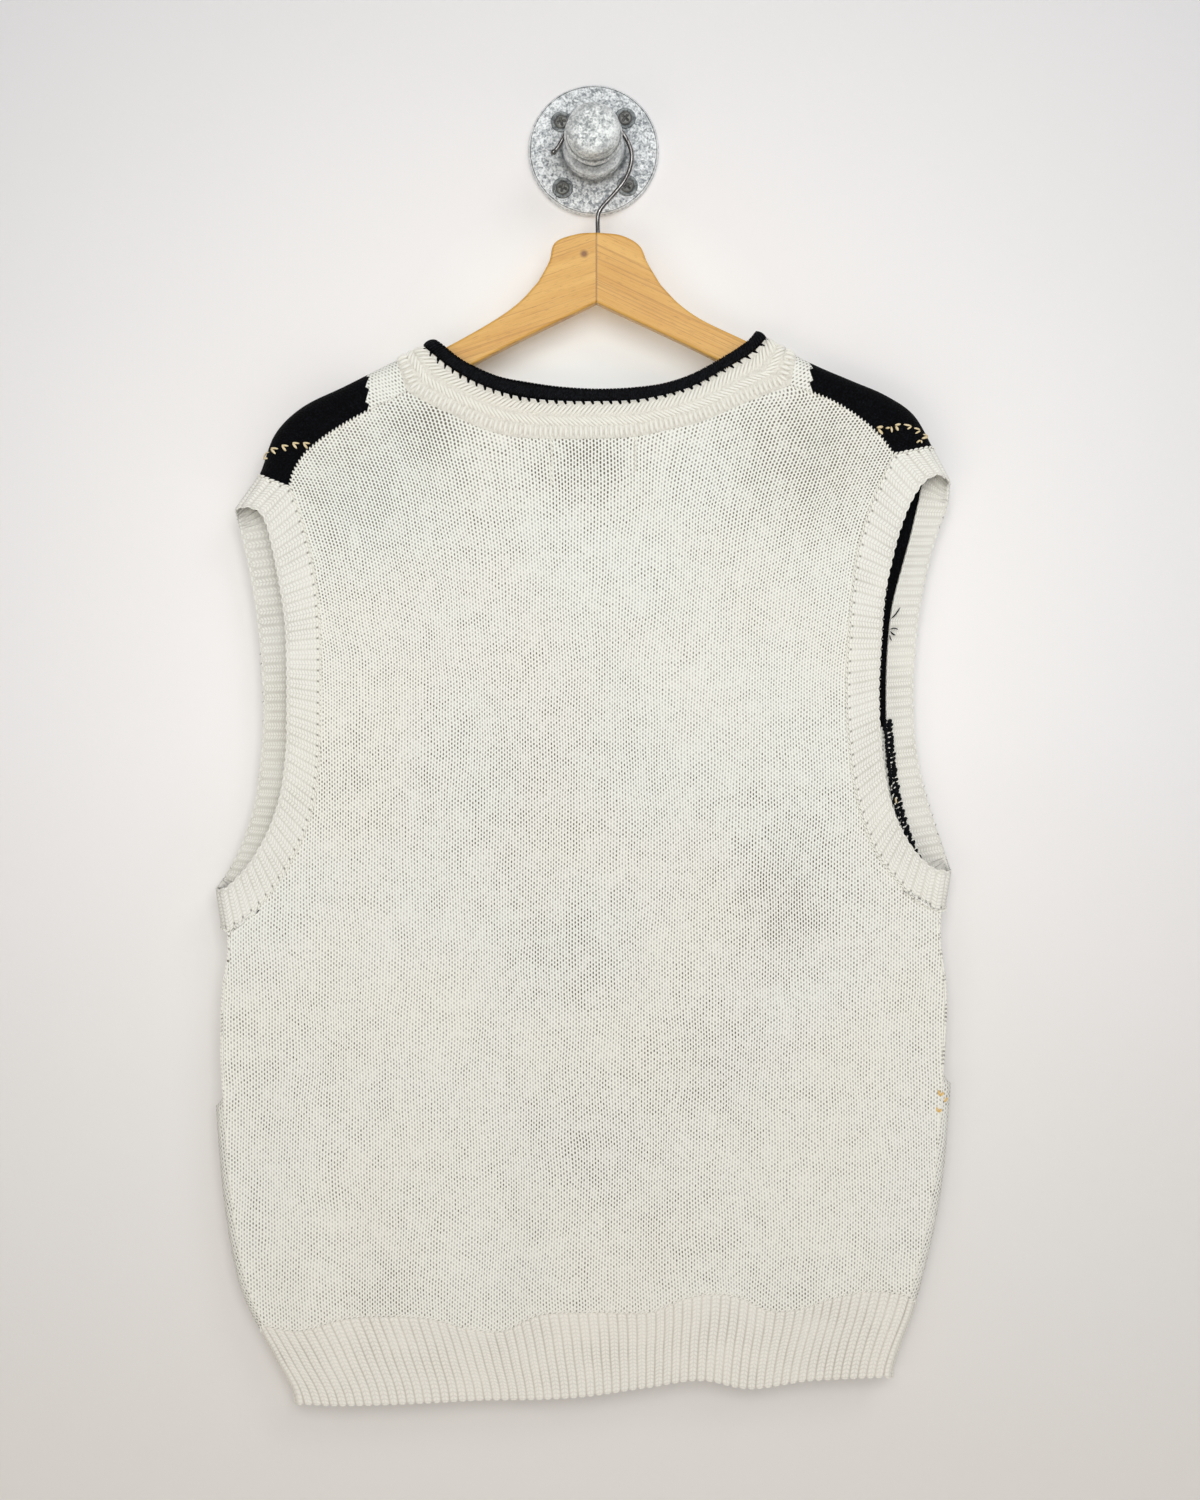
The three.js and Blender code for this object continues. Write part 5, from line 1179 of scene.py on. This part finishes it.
def ribbed_knit(name, stitch, tone_cool, tone_warm, groove_dark, loop_dark=0.24, turn=1000.0, hole_dark=0.0):
    """1x1 rib: ridges of upright loops with narrow grooves, and painted shade in the grooves and between the
    loops' legs; the UV map counts ribs and millimetres.
    """
    material, tree, shader, places = new_material(name, 0.92, **YARN_SKIN)
    uv = tree.nodes.new("ShaderNodeUVMap")
    uv.uv_map = "weave"
    ribs, length, _ = split(tree, uv.outputs[0])
    rib = placed_group(tree, rib_relief, Ribs=ribs, Along=length, Stitch=stitch, Turn=turn)
    yarn = placed_group(tree, yarn_tone, Place=places, Cool=tone_cool, Warm=tone_warm)
    patchy = ranged(tree, noise(tree, places, 45.0, 2.0), 0.3, 0.7, 0.6, 1.2)
    # Painted shade: the grooves, the hollows between the loops' legs and, on the arm bands, the holes beside
    # the seam are coloured darker.
    shade = maths(
        tree, "MULTIPLY_ADD", rib["Groove"], groove_dark, maths(tree, "MULTIPLY", rib["Loop"], loop_dark)
    )
    tone = mixed(tree, maths(tree, "MULTIPLY", shade, patchy), yarn["Tone"], (0.30, 0.27, 0.225, 1))
    if hole_dark:
        on_back = maths(tree, "LESS_THAN", ribs, 47.2)
        hole = maths(tree, "MULTIPLY", maths(tree, "MULTIPLY", rib["Hole"], on_back), hole_dark)
        tone = mixed(tree, hole, tone, (0.10, 0.09, 0.07, 1))
    tree.links.new(tone, shader.inputs["Base Color"])
    bumped(tree, shader, maths(tree, "MULTIPLY_ADD", yarn["Fibre"], 0.12, rib["Relief"]), 0.5, 0.0007)
    return material


def rib_swell(ribs, height=RIB_HEIGHT):
    """Rounded ridges with narrow grooves between them, from a count of ribs."""
    return height * (np.abs(np.sin(np.pi * ribs)) ** 0.55) - 0.35


hem_white = ribbed_knit("white_rib_hem", 2.4, (0.84, 0.82, 0.755, 1), (0.85, 0.82, 0.745, 1), 0.5)


def hem_rib(name, top_rail, flat_top, flat_bottom, ends, place, replaced):
    """The ribbed hem of one panel, from top_rail, the panel's lower edge, down to the hem line."""
    columns = HEM_RIBS * RIB_STEPS
    share = np.linspace(0, 1, columns + 1)
    down = np.linspace(0, 1, RIB_ROWS + 1)
    upper, lower = at_shares(flat_top, share), at_shares(flat_bottom, share)
    edge = [at_shares(ends[side], down) for side in ("left", "right")]
    pull = [
        edge[0] - mix(upper[0], lower[0], down[:, None]), edge[1] - mix(upper[-1], lower[-1], down[:, None]),
    ]
    flat = mix(upper[None], lower[None], down[:, None, None])
    flat = flat + mix(pull[0][:, None], pull[1][:, None], share[None, :, None])
    ribs = share * HEM_RIBS
    knob = np.abs(np.sin(np.pi * ribs))
    flat[..., 1] += (1 - knob)[None] * 1.3 * smooth_step(down, 0.93, 1)[:, None]
    points = place(flat.reshape(-1, 2)).reshape(*flat.shape[:2], 6)
    top = at_shares(top_rail, share)
    points[0] = np.column_stack([mix(top[:, :3], points[1, :, :3], 0.15), top[:, 3:]])
    fade = smooth_step(down, 0.0, 0.09)[:, None]
    end_roll = 0.5 * np.exp(-((down - 0.965) / 0.03) ** 2)[:, None] * knob[None]
    lift = rib_swell(ribs)[None] * mix(0.35, 1.0, fade) + end_roll
    length = down * 52
    weave = np.stack(np.broadcast_arrays(ribs[None], length[:, None]), axis=-1)
    piece = knit_sheet(name, points, lift, weave, hem_white)
    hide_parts(replaced)


def rib_ends(side):
    edge = HEM_EDGE[0] if side == "left" else HEM_EDGE[-1]
    return outline_inset(side, np.linspace(side_seam[side][0, 1], edge[1], 12), SEAM_INSET)


ends = {side: rib_ends(side) for side in ("left", "right")}
hem_x = np.linspace(ends["left"][-1, 0], ends["right"][-1, 0], 200)
back_hem = np.column_stack([hem_x, np.interp(hem_x, *smooth_line(HEM_EDGE, 300).T)])
hem_rib("hem_rib_of_back", back_grid[0], back_places[0], back_hem, ends, lambda flat: on_layer(flat, -1),
        "hem_rib_back")

flat_ends = {side: flatten(ends[side], -1, 1)[0] for side in ends}
share = np.linspace(0, 1, 200)
front_hem = mix(flat_ends["left"][-1], flat_ends["right"][-1], share[:, None])
front_hem[:, 1] += FRONT_HEM_RISE * smooth_step(np.minimum(share, 1 - share), 0, 0.2)
front_top = np.vstack([halves[0][0], halves[1][0][1:]])
front_flat_top = np.vstack([maps[0][0], maps[1][0][1:]])
hem_rib("hem_rib_of_front", front_top, front_flat_top, front_hem, flat_ends, lambda flat: place_flat(flat, 1),
        "hem_rib_front")

# Arm bands: 1x1 rib rings picked up round each armhole, with a row of linking stitches along the seam. Their
# inside shows through the opening, where the far half hangs past the near one.
ARM_EDGE_BACK = {
    "left": [
        (-253, -502), (-247, -501), (-231, -485), (-218, -463), (-210, -440), (-206, -413), (-205, -372),
        (-206, -327), (-210, -297), (-215, -272), (-219, -257), (-223, -250.5), (-231, -247.5), (-240, -249),
    ],
    "right": [
        (239.5, -490), (235, -489), (227, -487), (216, -477), (205, -459), (198, -439), (193, -408),
        (191, -372), (192, -345), (195, -305), (199, -285), (205, -262), (213, -242), (222, -229.5),
        (231, -226), (238.5, -230),
    ],
}
ARM_EDGE_FRONT = {
    "left": [
        (-240, -249), (-238, -262), (-232, -290), (-227, -323), (-224, -355), (-223, -387), (-225, -417),
        (-229, -445), (-237, -470), (-246, -489), (-253, -502),
    ],
    "right": [
        (238.5, -230), (238, -245), (231, -266), (225, -290), (220.5, -314), (217.5, -338), (216, -370),
        (217, -398), (221, -424), (228, -450), (235, -471), (239.5, -490),
    ],
}
ARM_RIBS = {"left": (49, 49), "right": (47, 47)}
arm_white = ribbed_knit("white_rib_arm_band", 1.9, (0.87, 0.872, 0.815, 1), (0.875, 0.866, 0.80, 1),
                        0.36, 0.36, turn=17.5, hole_dark=0.7)
link_white, tree, shader, places = new_material("white_linking_yarn", 0.9, **YARN_SKIN)
yarn = placed_group(tree, yarn_tone, Place=places, Cool=(0.88, 0.875, 0.81, 1), Warm=(0.885, 0.865, 0.79, 1))
tree.links.new(yarn["Tone"], shader.inputs["Base Color"])
bumped(tree, shader, yarn["Fibre"], 0.4, 0.0003)


def loop_shape(length, thick, bend=0.0, sides=6, steps=5):
    """A short plump piece of yarn lying along X, its ends tucked down, for repeated stitches."""
    vertices, faces = [], []
    for step in range(steps + 1):
        share = step / steps
        swell = 0.25 + 0.75 * math.sin(math.pi * share) ** 0.6
        for side in range(sides):
            angle = 2 * math.pi * side / sides
            y = thick / 2 * swell * math.cos(angle) + bend * math.sin(math.pi * share)
            z = thick / 2 * swell * math.sin(angle) + thick * 0.35 * (math.sin(math.pi * share) - 0.4)
            vertices.append(((share - 0.5) * length / 1000, y / 1000, z / 1000))
    for step in range(steps):
        for side in range(sides):
            a, b = step * sides + side, step * sides + (side + 1) % sides
            faces.append((a, a + sides, b + sides, b))
    faces += [tuple(range(sides)), tuple(range((steps + 1) * sides - 1, steps * sides - 1, -1))]
    return vertices, faces


# A hair under an even pitch, so that rounding never takes the last stitch of a row away.
JUST_UNDER = 0.9999


def row_of_stitches(name, rail, pitch, shape, material, lift=1.3, slant=0.0, size=1.0, change=0.08, seed=1):
    """Stitches along a rail of points and normals in millimetres, slanted from its direction."""
    length = np.linalg.norm(np.diff(rail[:, :3], axis=0), axis=1).sum()
    places = at_shares(rail, (np.arange(int(length / pitch)) + 0.5) / int(length / pitch))
    normal = places[:, 3:] / np.linalg.norm(places[:, 3:], axis=1)[:, None]
    ahead = np.gradient(places[:, :3], axis=0)
    ahead /= np.linalg.norm(ahead, axis=1)[:, None]
    aside = np.cross(normal, ahead)
    turned_to = ahead * math.cos(math.radians(slant)) + aside * math.sin(math.radians(slant))
    points = (places[:, :3] + normal * lift) / 1000
    return repeated(name, points, normal, turned_to, shape, material, size, change, seed)


def arm_band(side):
    """The ribbed ring round one armhole, with the linking stitches along its seam."""
    points = front[side][0]
    back_column = 0 if side == "left" else -1
    first = SIDE_ROWS + 1
    back_rail = np.vstack([
        points[first:first - 2:-1, 0], back_grid[SIDE_ROWS:, back_column], points[:FOLD_ROW - 1:-1, 0],
    ])
    front_rail = points[FOLD_ROW:first - 1:-1, 0]
    edges = [
        on_layer(smooth_line(ARM_EDGE_BACK[side], 240), -1),
        on_layer(smooth_line(ARM_EDGE_FRONT[side], 240), 1),
    ]
    columns, ribs = [], []
    for rail, edge, count, start in zip(
        (back_rail, front_rail), edges, ARM_RIBS[side], (0, ARM_RIBS[side][0])
    ):
        share = np.linspace(0, 1, count * 12 + 1)[:-1]
        edge_share = np.interp(share, (0, 0.12, 0.88, 1), (0, 0.055, 0.96, 1)) if start else share
        columns.append((at_shares(rail, share), at_shares(edge, edge_share)))
        ribs.append(start + share * count)
    seam, edge = (np.vstack(part) for part in zip(*columns))
    ribs = np.concatenate(ribs)
    down = np.array([0.02, 0.07, 0.16, 0.3, 0.45, 0.6, 0.75, 0.86, 0.93, 0.97, 1.0])
    grid = mix(seam[None], edge[None], down[:, None, None])
    knob = np.abs(np.sin(np.pi * ribs))
    across = (edge - seam)[:, :3]
    across /= np.linalg.norm(across, axis=1)[:, None]
    grid[-1, :, :3] -= across * (1 - knob)[:, None] * 0.8
    lift = rib_swell(ribs, 0.8)[None] * smooth_step(down, 0.0, 0.14)[:, None]
    weave = np.stack(
        np.broadcast_arrays(np.append(ribs, sum(ARM_RIBS[side]))[None], down[:, None] * 22), axis=-1
    )
    piece = knit_sheet("arm_band_of_" + side + "_armhole", grid, lift, weave, arm_white, True, 1.6)
    rail = np.vstack([seam, seam[:1]])
    links = row_of_stitches("linking_stitches_" + side, rail, 3.4, loop_shape(3.8, 1.5, 0.3), link_white, 1.3,
                            14, seed=3)
    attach(links, "root")
    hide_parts("arm_band_" + side)


for side in ("left", "right"):
    arm_band(side)

# Neck: a thick white band of slanting and upright stitches, picked up round the V neck, and a rounded black
# trim knitted on to it, whose black loops reach into the white as a row of small hooked points.
NECK_BAND = {
    "back": [
        (-113, -140.5), (-106, -146), (-97, -153), (-83, -162), (-67, -169), (-49, -174), (-26, -176.5),
        (1, -177), (28, -176), (50, -172), (68, -166), (86, -156), (103, -146), (110, -140.5), (114.5, -135),
    ],
    "left": [
        (-113, -140.5), (-114, -178), (-100, -214), (-81, -256),
        (-61, -294), (-39, -331), (-18, -356), (0, -366),
    ],
    "right": [
        (114.5, -135), (117, -176), (104, -213), (85, -255), (64, -294), (41, -331), (19, -356), (0, -366),
    ],
}
NECK_TRIM = {
    "back": [
        (-105, -136), (-98, -141), (-89, -148), (-76, -155), (-62, -160.5), (-44, -164), (-23, -167),
        (2, -168.5), (27, -167.5), (48, -164.5), (66, -158.5), (83, -149.5), (98, -140), (104, -135.5),
        (107.5, -131),
    ],
    "left": [
        (-105, -136), (-106, -174), (-92, -210), (-73, -252),
        (-53, -290), (-32, -326), (-14, -347), (0, -356),
    ],
    "right": [
        (107.5, -131), (109, -172), (96, -209), (77, -251), (56, -290), (34, -326), (15, -347), (0, -356),
    ],
}
NECK_STITCHES = (99, 83, 82)
STITCH_COLUMNS = 5
SHOULDER_END = SHOULDER_COLUMNS + NECK_COLUMNS

band_white, tree, shader, places = new_material("white_neck_band", 0.92, **YARN_SKIN)
uv = tree.nodes.new("ShaderNodeUVMap")
uv.uv_map = "weave"
# Painted shade: the band's sheet under the rows of stitches is coloured darker than the body's yarn, and
# darker still in noisy hollows, for the shade between the stitches.
yarn = placed_group(tree, yarn_tone, Place=places, Cool=(0.76, 0.745, 0.68, 1), Warm=(0.76, 0.735, 0.66, 1))
hollow = ranged(tree, noise(tree, places, 520.0, 2.0), 0.42, 0.72)
tree.links.new(mixed(tree, maths(tree, "MULTIPLY", hollow, 0.35), yarn["Tone"], (0.36, 0.32, 0.26, 1)),
               shader.inputs["Base Color"])
bumped(tree, shader, maths(tree, "ADD", yarn["Fibre"], hollow), 0.5, 0.0006)

trim_black, tree, shader, places = new_material("black_neck_trim", 0.9, Specular_IOR_Level=0.04)
uv = tree.nodes.new("ShaderNodeUVMap")
uv.uv_map = "weave"
along, over, _ = split(tree, uv.outputs[0])
strand = maths(tree, "MULTIPLY", maths(tree, "MULTIPLY_ADD", over, 0.5, along), 4 * math.pi)
ridge = maths(tree, "MULTIPLY_ADD", maths(tree, "COSINE", strand), 0.5, 0.5)
# Painted highlights: faint lighter, bluish spots along the ridges of the trim's strands.
spots = ranged(tree, noise(tree, places, 1100.0, 2.0), 0.5, 0.8)
black = mixed(
    tree, maths(tree, "MULTIPLY", spots, ridge), (0.0015, 0.0015, 0.002, 1), (0.006, 0.007, 0.010, 1)
)
tree.links.new(black, shader.inputs["Base Color"])
bumped(tree, shader, maths(tree, "MULTIPLY_ADD", spots, 0.3, ridge), 0.7, 0.0007)


def plain_yarn(name, cool, warm):
    material, tree, shader, places = new_material(name, 0.88, **YARN_SKIN)
    fibre = noise(tree, places, 800.0, 2.0)
    tree.links.new(mixed(tree, ranged(tree, fibre, 0.35, 0.7), cool, warm), shader.inputs["Base Color"])
    bumped(tree, shader, fibre, 0.5, 0.0004)
    return material


black_yarn = plain_yarn("black_yarn", (0.0015, 0.0015, 0.002, 1), (0.010, 0.0115, 0.015, 1))
left_points, right_points = front["left"][0], front["right"][0]
neck_rails = [
    np.vstack([left_points[FOLD_ROW:, -1], back_grid[-1, SHOULDER_COLUMNS + 1:SHOULDER_END],
               right_points[:FOLD_ROW - 1:-1, -1]]),
    right_points[FOLD_ROW:rows_below - 1:-1, -1],
    left_points[rows_below:FOLD_ROW + 1, -1],
]


def neck_edges(table):
    back_edge = on_layer(smooth_line(table["back"], 260), -1)
    right_edge = on_layer(smooth_line(table["right"], 200), 1)
    return [back_edge, right_edge, on_layer(smooth_line(table["left"], 200), 1)[::-1]]


def ring_rows(rails, edges, columns):
    """Matching points of a ring's two edges, part by part, with evenly spaced columns."""
    inner, outer = [], []
    for rail, edge, count in zip(rails, edges, columns):
        share = np.linspace(0, 1, count + 1)[:-1]
        inner.append(at_shares(rail, share))
        outer.append(at_shares(edge, share))
    return np.vstack(inner), np.vstack(outer)


neck_columns = [count * STITCH_COLUMNS for count in NECK_STITCHES]
neck_seam, band_edge = ring_rows(neck_rails, neck_edges(NECK_BAND), neck_columns)
_, trim_edge = ring_rows(neck_rails, neck_edges(NECK_TRIM), neck_columns)
stitch = np.arange(len(neck_seam)) / STITCH_COLUMNS


def unit_rows(grid):
    grid[..., 3:] /= np.linalg.norm(grid[..., 3:], axis=-1)[..., None]
    return grid


down = np.linspace(0, 1, 15)
band_grid = unit_rows(mix(neck_seam[None], band_edge[None], down[:, None, None]))
band_lift = 0.15 + 0.75 * np.sin(np.pi * np.clip(down, 0.02, 0.98)) ** 0.45
stitch_marks = np.append(stitch, sum(NECK_STITCHES))
weave = np.stack(np.broadcast_arrays(stitch_marks[None], down[:, None] * 24), axis=-1)
neck_band = knit_sheet("neck_band_white", band_grid, np.broadcast_to(band_lift[:, None], band_grid.shape[:2]),
                       weave, band_white, True)

down = np.linspace(0, 1, 13)
trim_start = mix(band_edge, trim_edge, 0.03)
trim_grid = unit_rows(mix(trim_start[None], trim_edge[None], down[:, None, None]))
scallop = np.abs(np.sin(np.pi * stitch * 2)) ** 0.6
away = trim_edge[:, :3] - band_edge[:, :3]
away /= np.linalg.norm(away, axis=1)[:, None]
trim_grid[-3:, :, :3] += away * ((scallop - 0.5) * 0.7)[:, None] * np.array([0.3, 0.7, 1])[:, None, None]
roll = 0.3 + 1.5 * np.sin(np.pi * np.clip(down, 0.03, 0.97)) ** 0.5
trim_lift = roll[:, None] + 0.25 * scallop[None]
weave = np.stack(np.broadcast_arrays(stitch_marks[None], down[:, None] * 2), axis=-1)
neck_trim = knit_sheet("neck_trim_black", trim_grid, trim_lift, weave, trim_black, True, 2.0)


def band_stitches(name, share, length, thick, slant, lift, pitch_share=1.0, seed=1):
    """One row of the band's stitches, a given share of the way from the panels' seam to the black trim."""
    rail = unit_rows(mix(neck_seam, band_edge, share))
    rail = np.vstack([rail, rail[:1]])
    pitch = np.linalg.norm(np.diff(rail[:, :3], axis=0), axis=1).sum() / sum(NECK_STITCHES) * pitch_share
    return row_of_stitches(name, rail, pitch * JUST_UNDER, loop_shape(length, thick), link_white, lift, slant,
                           1.0, 0.07, seed)


band_rows = [
    band_stitches("neck_band_bars", 0.185, 8.0, 2.5, 90, 1.75, seed=5),
    band_stitches("neck_band_back_slants", 0.47, 9.8, 2.1, 142, 1.75, seed=6),
    band_stitches("neck_band_slants", 0.78, 11.2, 2.15, 48, 1.75, seed=7),
]


def hooked_point(sides=8, steps=7):
    """A black loop pulled into the white: thick at the trim, bent aside and pointed at its end."""
    vertices, faces = [], []
    for step in range(steps + 1):
        share = step / steps
        radius = 1.3 * (1 - share) ** 0.7 + 0.05
        x, y = 4.9 * share - 1.4, 1.0 * share ** 2
        for side in range(sides):
            angle = 2 * math.pi * side / sides
            vertices.append((
                x / 1000, (y + radius * math.cos(angle)) / 1000, radius * 0.7 * math.sin(angle) / 1000,
            ))
    for step in range(steps):
        for side in range(sides):
            a, b = step * sides + side, step * sides + (side + 1) % sides
            faces.append((a, a + sides, b + sides, b))
    faces += [tuple(range(sides)), tuple(range((steps + 1) * sides - 1, steps * sides - 1, -1))]
    return vertices, faces


rail = unit_rows(mix(neck_seam, band_edge, 1.0))
rail = np.vstack([rail, rail[:1]])
pitch = np.linalg.norm(np.diff(rail[:, :3], axis=0), axis=1).sum() / (sum(NECK_STITCHES) // 2)
points_of_trim = row_of_stitches("neck_trim_points", rail, pitch * JUST_UNDER, hooked_point(), trim_black,
                                 1.5, -78, 1.0, 0.12, seed=8)
rail = unit_rows(mix(band_edge, trim_edge, 0.5))
rail = np.vstack([rail, rail[:1]])
trim_loops = row_of_stitches("neck_trim_loops", rail, 1.62, loop_shape(8.6, 1.75), black_yarn, 2.75, 68, 1.0,
                             0.06, seed=9)
for item in (*band_rows, points_of_trim, trim_loops):
    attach(item, "root")
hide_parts("neck_band")
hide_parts("neck_trim")

# Stitches and loose ends: linking stitches along the seams and the top of the hem rib, beige stitches on the
# black blocks, two lines where a label is sewn on inside, stained stitches, cut ends, and floats at an
# armhole.
def sewn_yarn(name, strokes, material, lift, face=-1, inside=False, sides=7):
    """Short pieces of yarn: each stroke is a line of x, z places in millimetres and a thickness."""
    vertices, faces = [], []
    for line, thick in strokes:
        places = smooth_line(line, 8) if len(line) > 2 else mix(*(np.array(p, float) for p in line),
                                                                np.linspace(0, 1, 9)[:, None])
        spots = on_layer(places, face)
        out = -spots[:, 3:] if inside else spots[:, 3:]
        share = np.linspace(0, 1, len(places))
        arch = lift + thick * 0.35 * np.sin(math.pi * share)
        radii = thick / 2 * (0.3 + 0.7 * np.sin(math.pi * share) ** 0.5)
        shape, sides_of = tube(spots[:, :3] + out * arch[:, None], radii, sides)
        faces += [tuple(i + len(vertices) for i in face_of) for face_of in sides_of]
        vertices += shape
    piece = mesh_object(name, vertices, faces, material)
    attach(piece, "root")
    return piece


beige_yarn = plain_yarn("beige_yarn", (0.70, 0.56, 0.32, 1), (0.88, 0.77, 0.53, 1))
stained_yarn = plain_yarn("stained_yarn", (0.72, 0.46, 0.14, 1), (0.85, 0.62, 0.30, 1))

seam_rows = []
for side in ("left", "right"):
    turn = 1 if side == "left" else -1
    shoulder = on_layer(shoulder_seam[side], -1)
    seam_rows.append(row_of_stitches("shoulder_stitches_" + side, shoulder, 2.7, loop_shape(3.0, 1.3, 0.2),
                                     link_white, 0.95, 62 * turn, seed=11))
    sideways = on_layer(side_seam[side], -1)
    seam_rows.append(row_of_stitches("side_seam_stitches_" + side, sideways, COURSE,
                                     loop_shape(3.1, 1.15, 0.3), link_white, 0.75, 24, seed=12))
seam_rows.append(row_of_stitches("rib_top_stitches", unit_rows(back_grid[:1].copy())[0], 3.3,
                                 loop_shape(4.4, 1.5, 0.3), link_white, 0.95, 38, seed=13))
front_rib_rail = unit_rows(front_top[None].copy())[0]
seam_rows.append(row_of_stitches("front_rib_top_stitches", front_rib_rail, 3.3, loop_shape(4.4, 1.5, 0.3),
                                 link_white, 0.95, 38, seed=14))
for item in seam_rows:
    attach(item, "root")

LEFT_CHAIN = [(-193.3, -204.2), (-200.4, -204.2), (-207.6, -205.9), (-214.3, -207.8)]
beige = []
for x, z in LEFT_CHAIN:
    beige += [([(x, z), (x + 4.6, z - 0.5)], 1.35), ([(x + 0.2, z - 0.3), (x + 2.9, z - 3.9)], 1.7)]
beige += [
    ([(-215.6, -210.2), (-218.2, -211.2), (-220.0, -213.4)], 1.1),
    ([(-219.8, -214.0), (-216.6, -214.6)], 1.8),
    ([(188.8, -194.2), (192.8, -193.6)], 2.0), ([(189.6, -195.2), (192.6, -198.6)], 1.9),
    ([(194.6, -194.6), (197.4, -194.2)], 1.4), ([(198.2, -193.4), (198.8, -197.4)], 1.5),
    ([(200.8, -192.6), (204.6, -191.8)], 1.6), ([(201.2, -193.2), (203.0, -196.2)], 1.8),
    ([(206.6, -192.0), (211.4, -193.2)], 1.3), ([(211.6, -193.6), (209.0, -195.2)], 1.3),
    ([(213.2, -194.6), (217.0, -195.8)], 1.3), ([(217.2, -196.4), (214.2, -198.2)], 1.3),
    ([(219.2, -198.6), (222.4, -200.0)], 1.3), ([(222.4, -200.4), (218.4, -201.6)], 1.8),
    ([(215.2, -204.2), (217.2, -202.6)], 1.3), ([(217.6, -202.6), (218.4, -204.6)], 1.2),
]
beige_chain = sewn_yarn("beige_chain_stitches", beige, beige_yarn, 1.25)

label_lines = []
for x, low in ((-27.8, -231.5), (27.9, -222.5)):
    z = -200.0
    while z > low:
        label_lines.append(([(x, z), (x + 0.3, z - 3.0)], 1.5))
        z -= 3.3
label_stitches = sewn_yarn("label_stitches", label_lines, link_white, 1.2)

stained = [
    ([(230.9, -636.6), (232.2, -640.4)], 1.7), ([(234.2, -638.2), (232.4, -640.4)], 1.7),
    ([(236.4, -641.8), (234.8, -644.6)], 1.6), ([(229.9, -648.2), (231.2, -651.4)], 1.6),
    ([(232.9, -649.2), (231.4, -651.4)], 1.6),
]
stained_stitches = sewn_yarn("stained_stitches", stained, stained_yarn, 0.9)

# The front's wrong side shows at the right armhole: floats of both yarns beside the seam, and cut black ends.
inner_edge = smooth_line([(197.4, -390), (203, -438), (212, -470), (224, -497), (232, -510)], 60)


def floats(name, offset, pitch, length, thick, lean, lift, material, first=0.0, last=1.0):
    line = at_shares(inner_edge, np.linspace(first, last, int(120 * (last - first) / pitch)))
    ahead = np.gradient(line, axis=0)
    ahead /= np.linalg.norm(ahead, axis=1)[:, None]
    aside = np.column_stack([ahead[:, 1], -ahead[:, 0]])
    strokes = []
    for index, (place, forward, across) in enumerate(zip(line, ahead, aside)):
        angle = math.radians(lean + 14 * math.sin(index * 2.4))
        long = length * (1 + 0.25 * math.sin(index * 1.7))
        reach = (forward * math.cos(angle) + across * math.sin(angle)) * long / 2
        middle = place + across * (offset + 0.5 * math.sin(index * 3.1))
        strokes.append(([tuple(middle - reach), tuple(middle + reach)], thick))
    return sewn_yarn(name, strokes, material, lift, 1, True, 6)


float_rows = [
    floats("black_floats", -1.9, 2.6, 4.2, 3.2, 50, 1.5, black_yarn),
    floats("black_floats_inner", 1.0, 2.9, 4.2, 2.8, 25, 1.5, black_yarn),
    floats("white_floats", -1.6, 3.1, 5.0, 1.3, 80, 2.5, link_white),
    floats("white_floats_inner", 1.3, 4.4, 5.2, 1.1, 10, 2.6, link_white, 0.35),
    floats("beige_floats", 0.2, 28.0, 4.4, 1.4, 15, 3.0, beige_yarn, 0.42, 0.95),
]
cut_ends = sewn_yarn("cut_black_ends", [
    ([(200.6, -320.2), (203.2, -317.6), (206.4, -312.8)], 0.9),
    ([(199.6, -327.4), (202.6, -326.8), (205.2, -327.6)], 0.85),
    ([(199.8, -328.9), (201.8, -330.8), (203.4, -331.4)], 1.0),
    ([(199.4, -331.4), (199.8, -333.4), (200.8, -335.2)], 0.8),
], black_yarn, 2.6, 1, True)
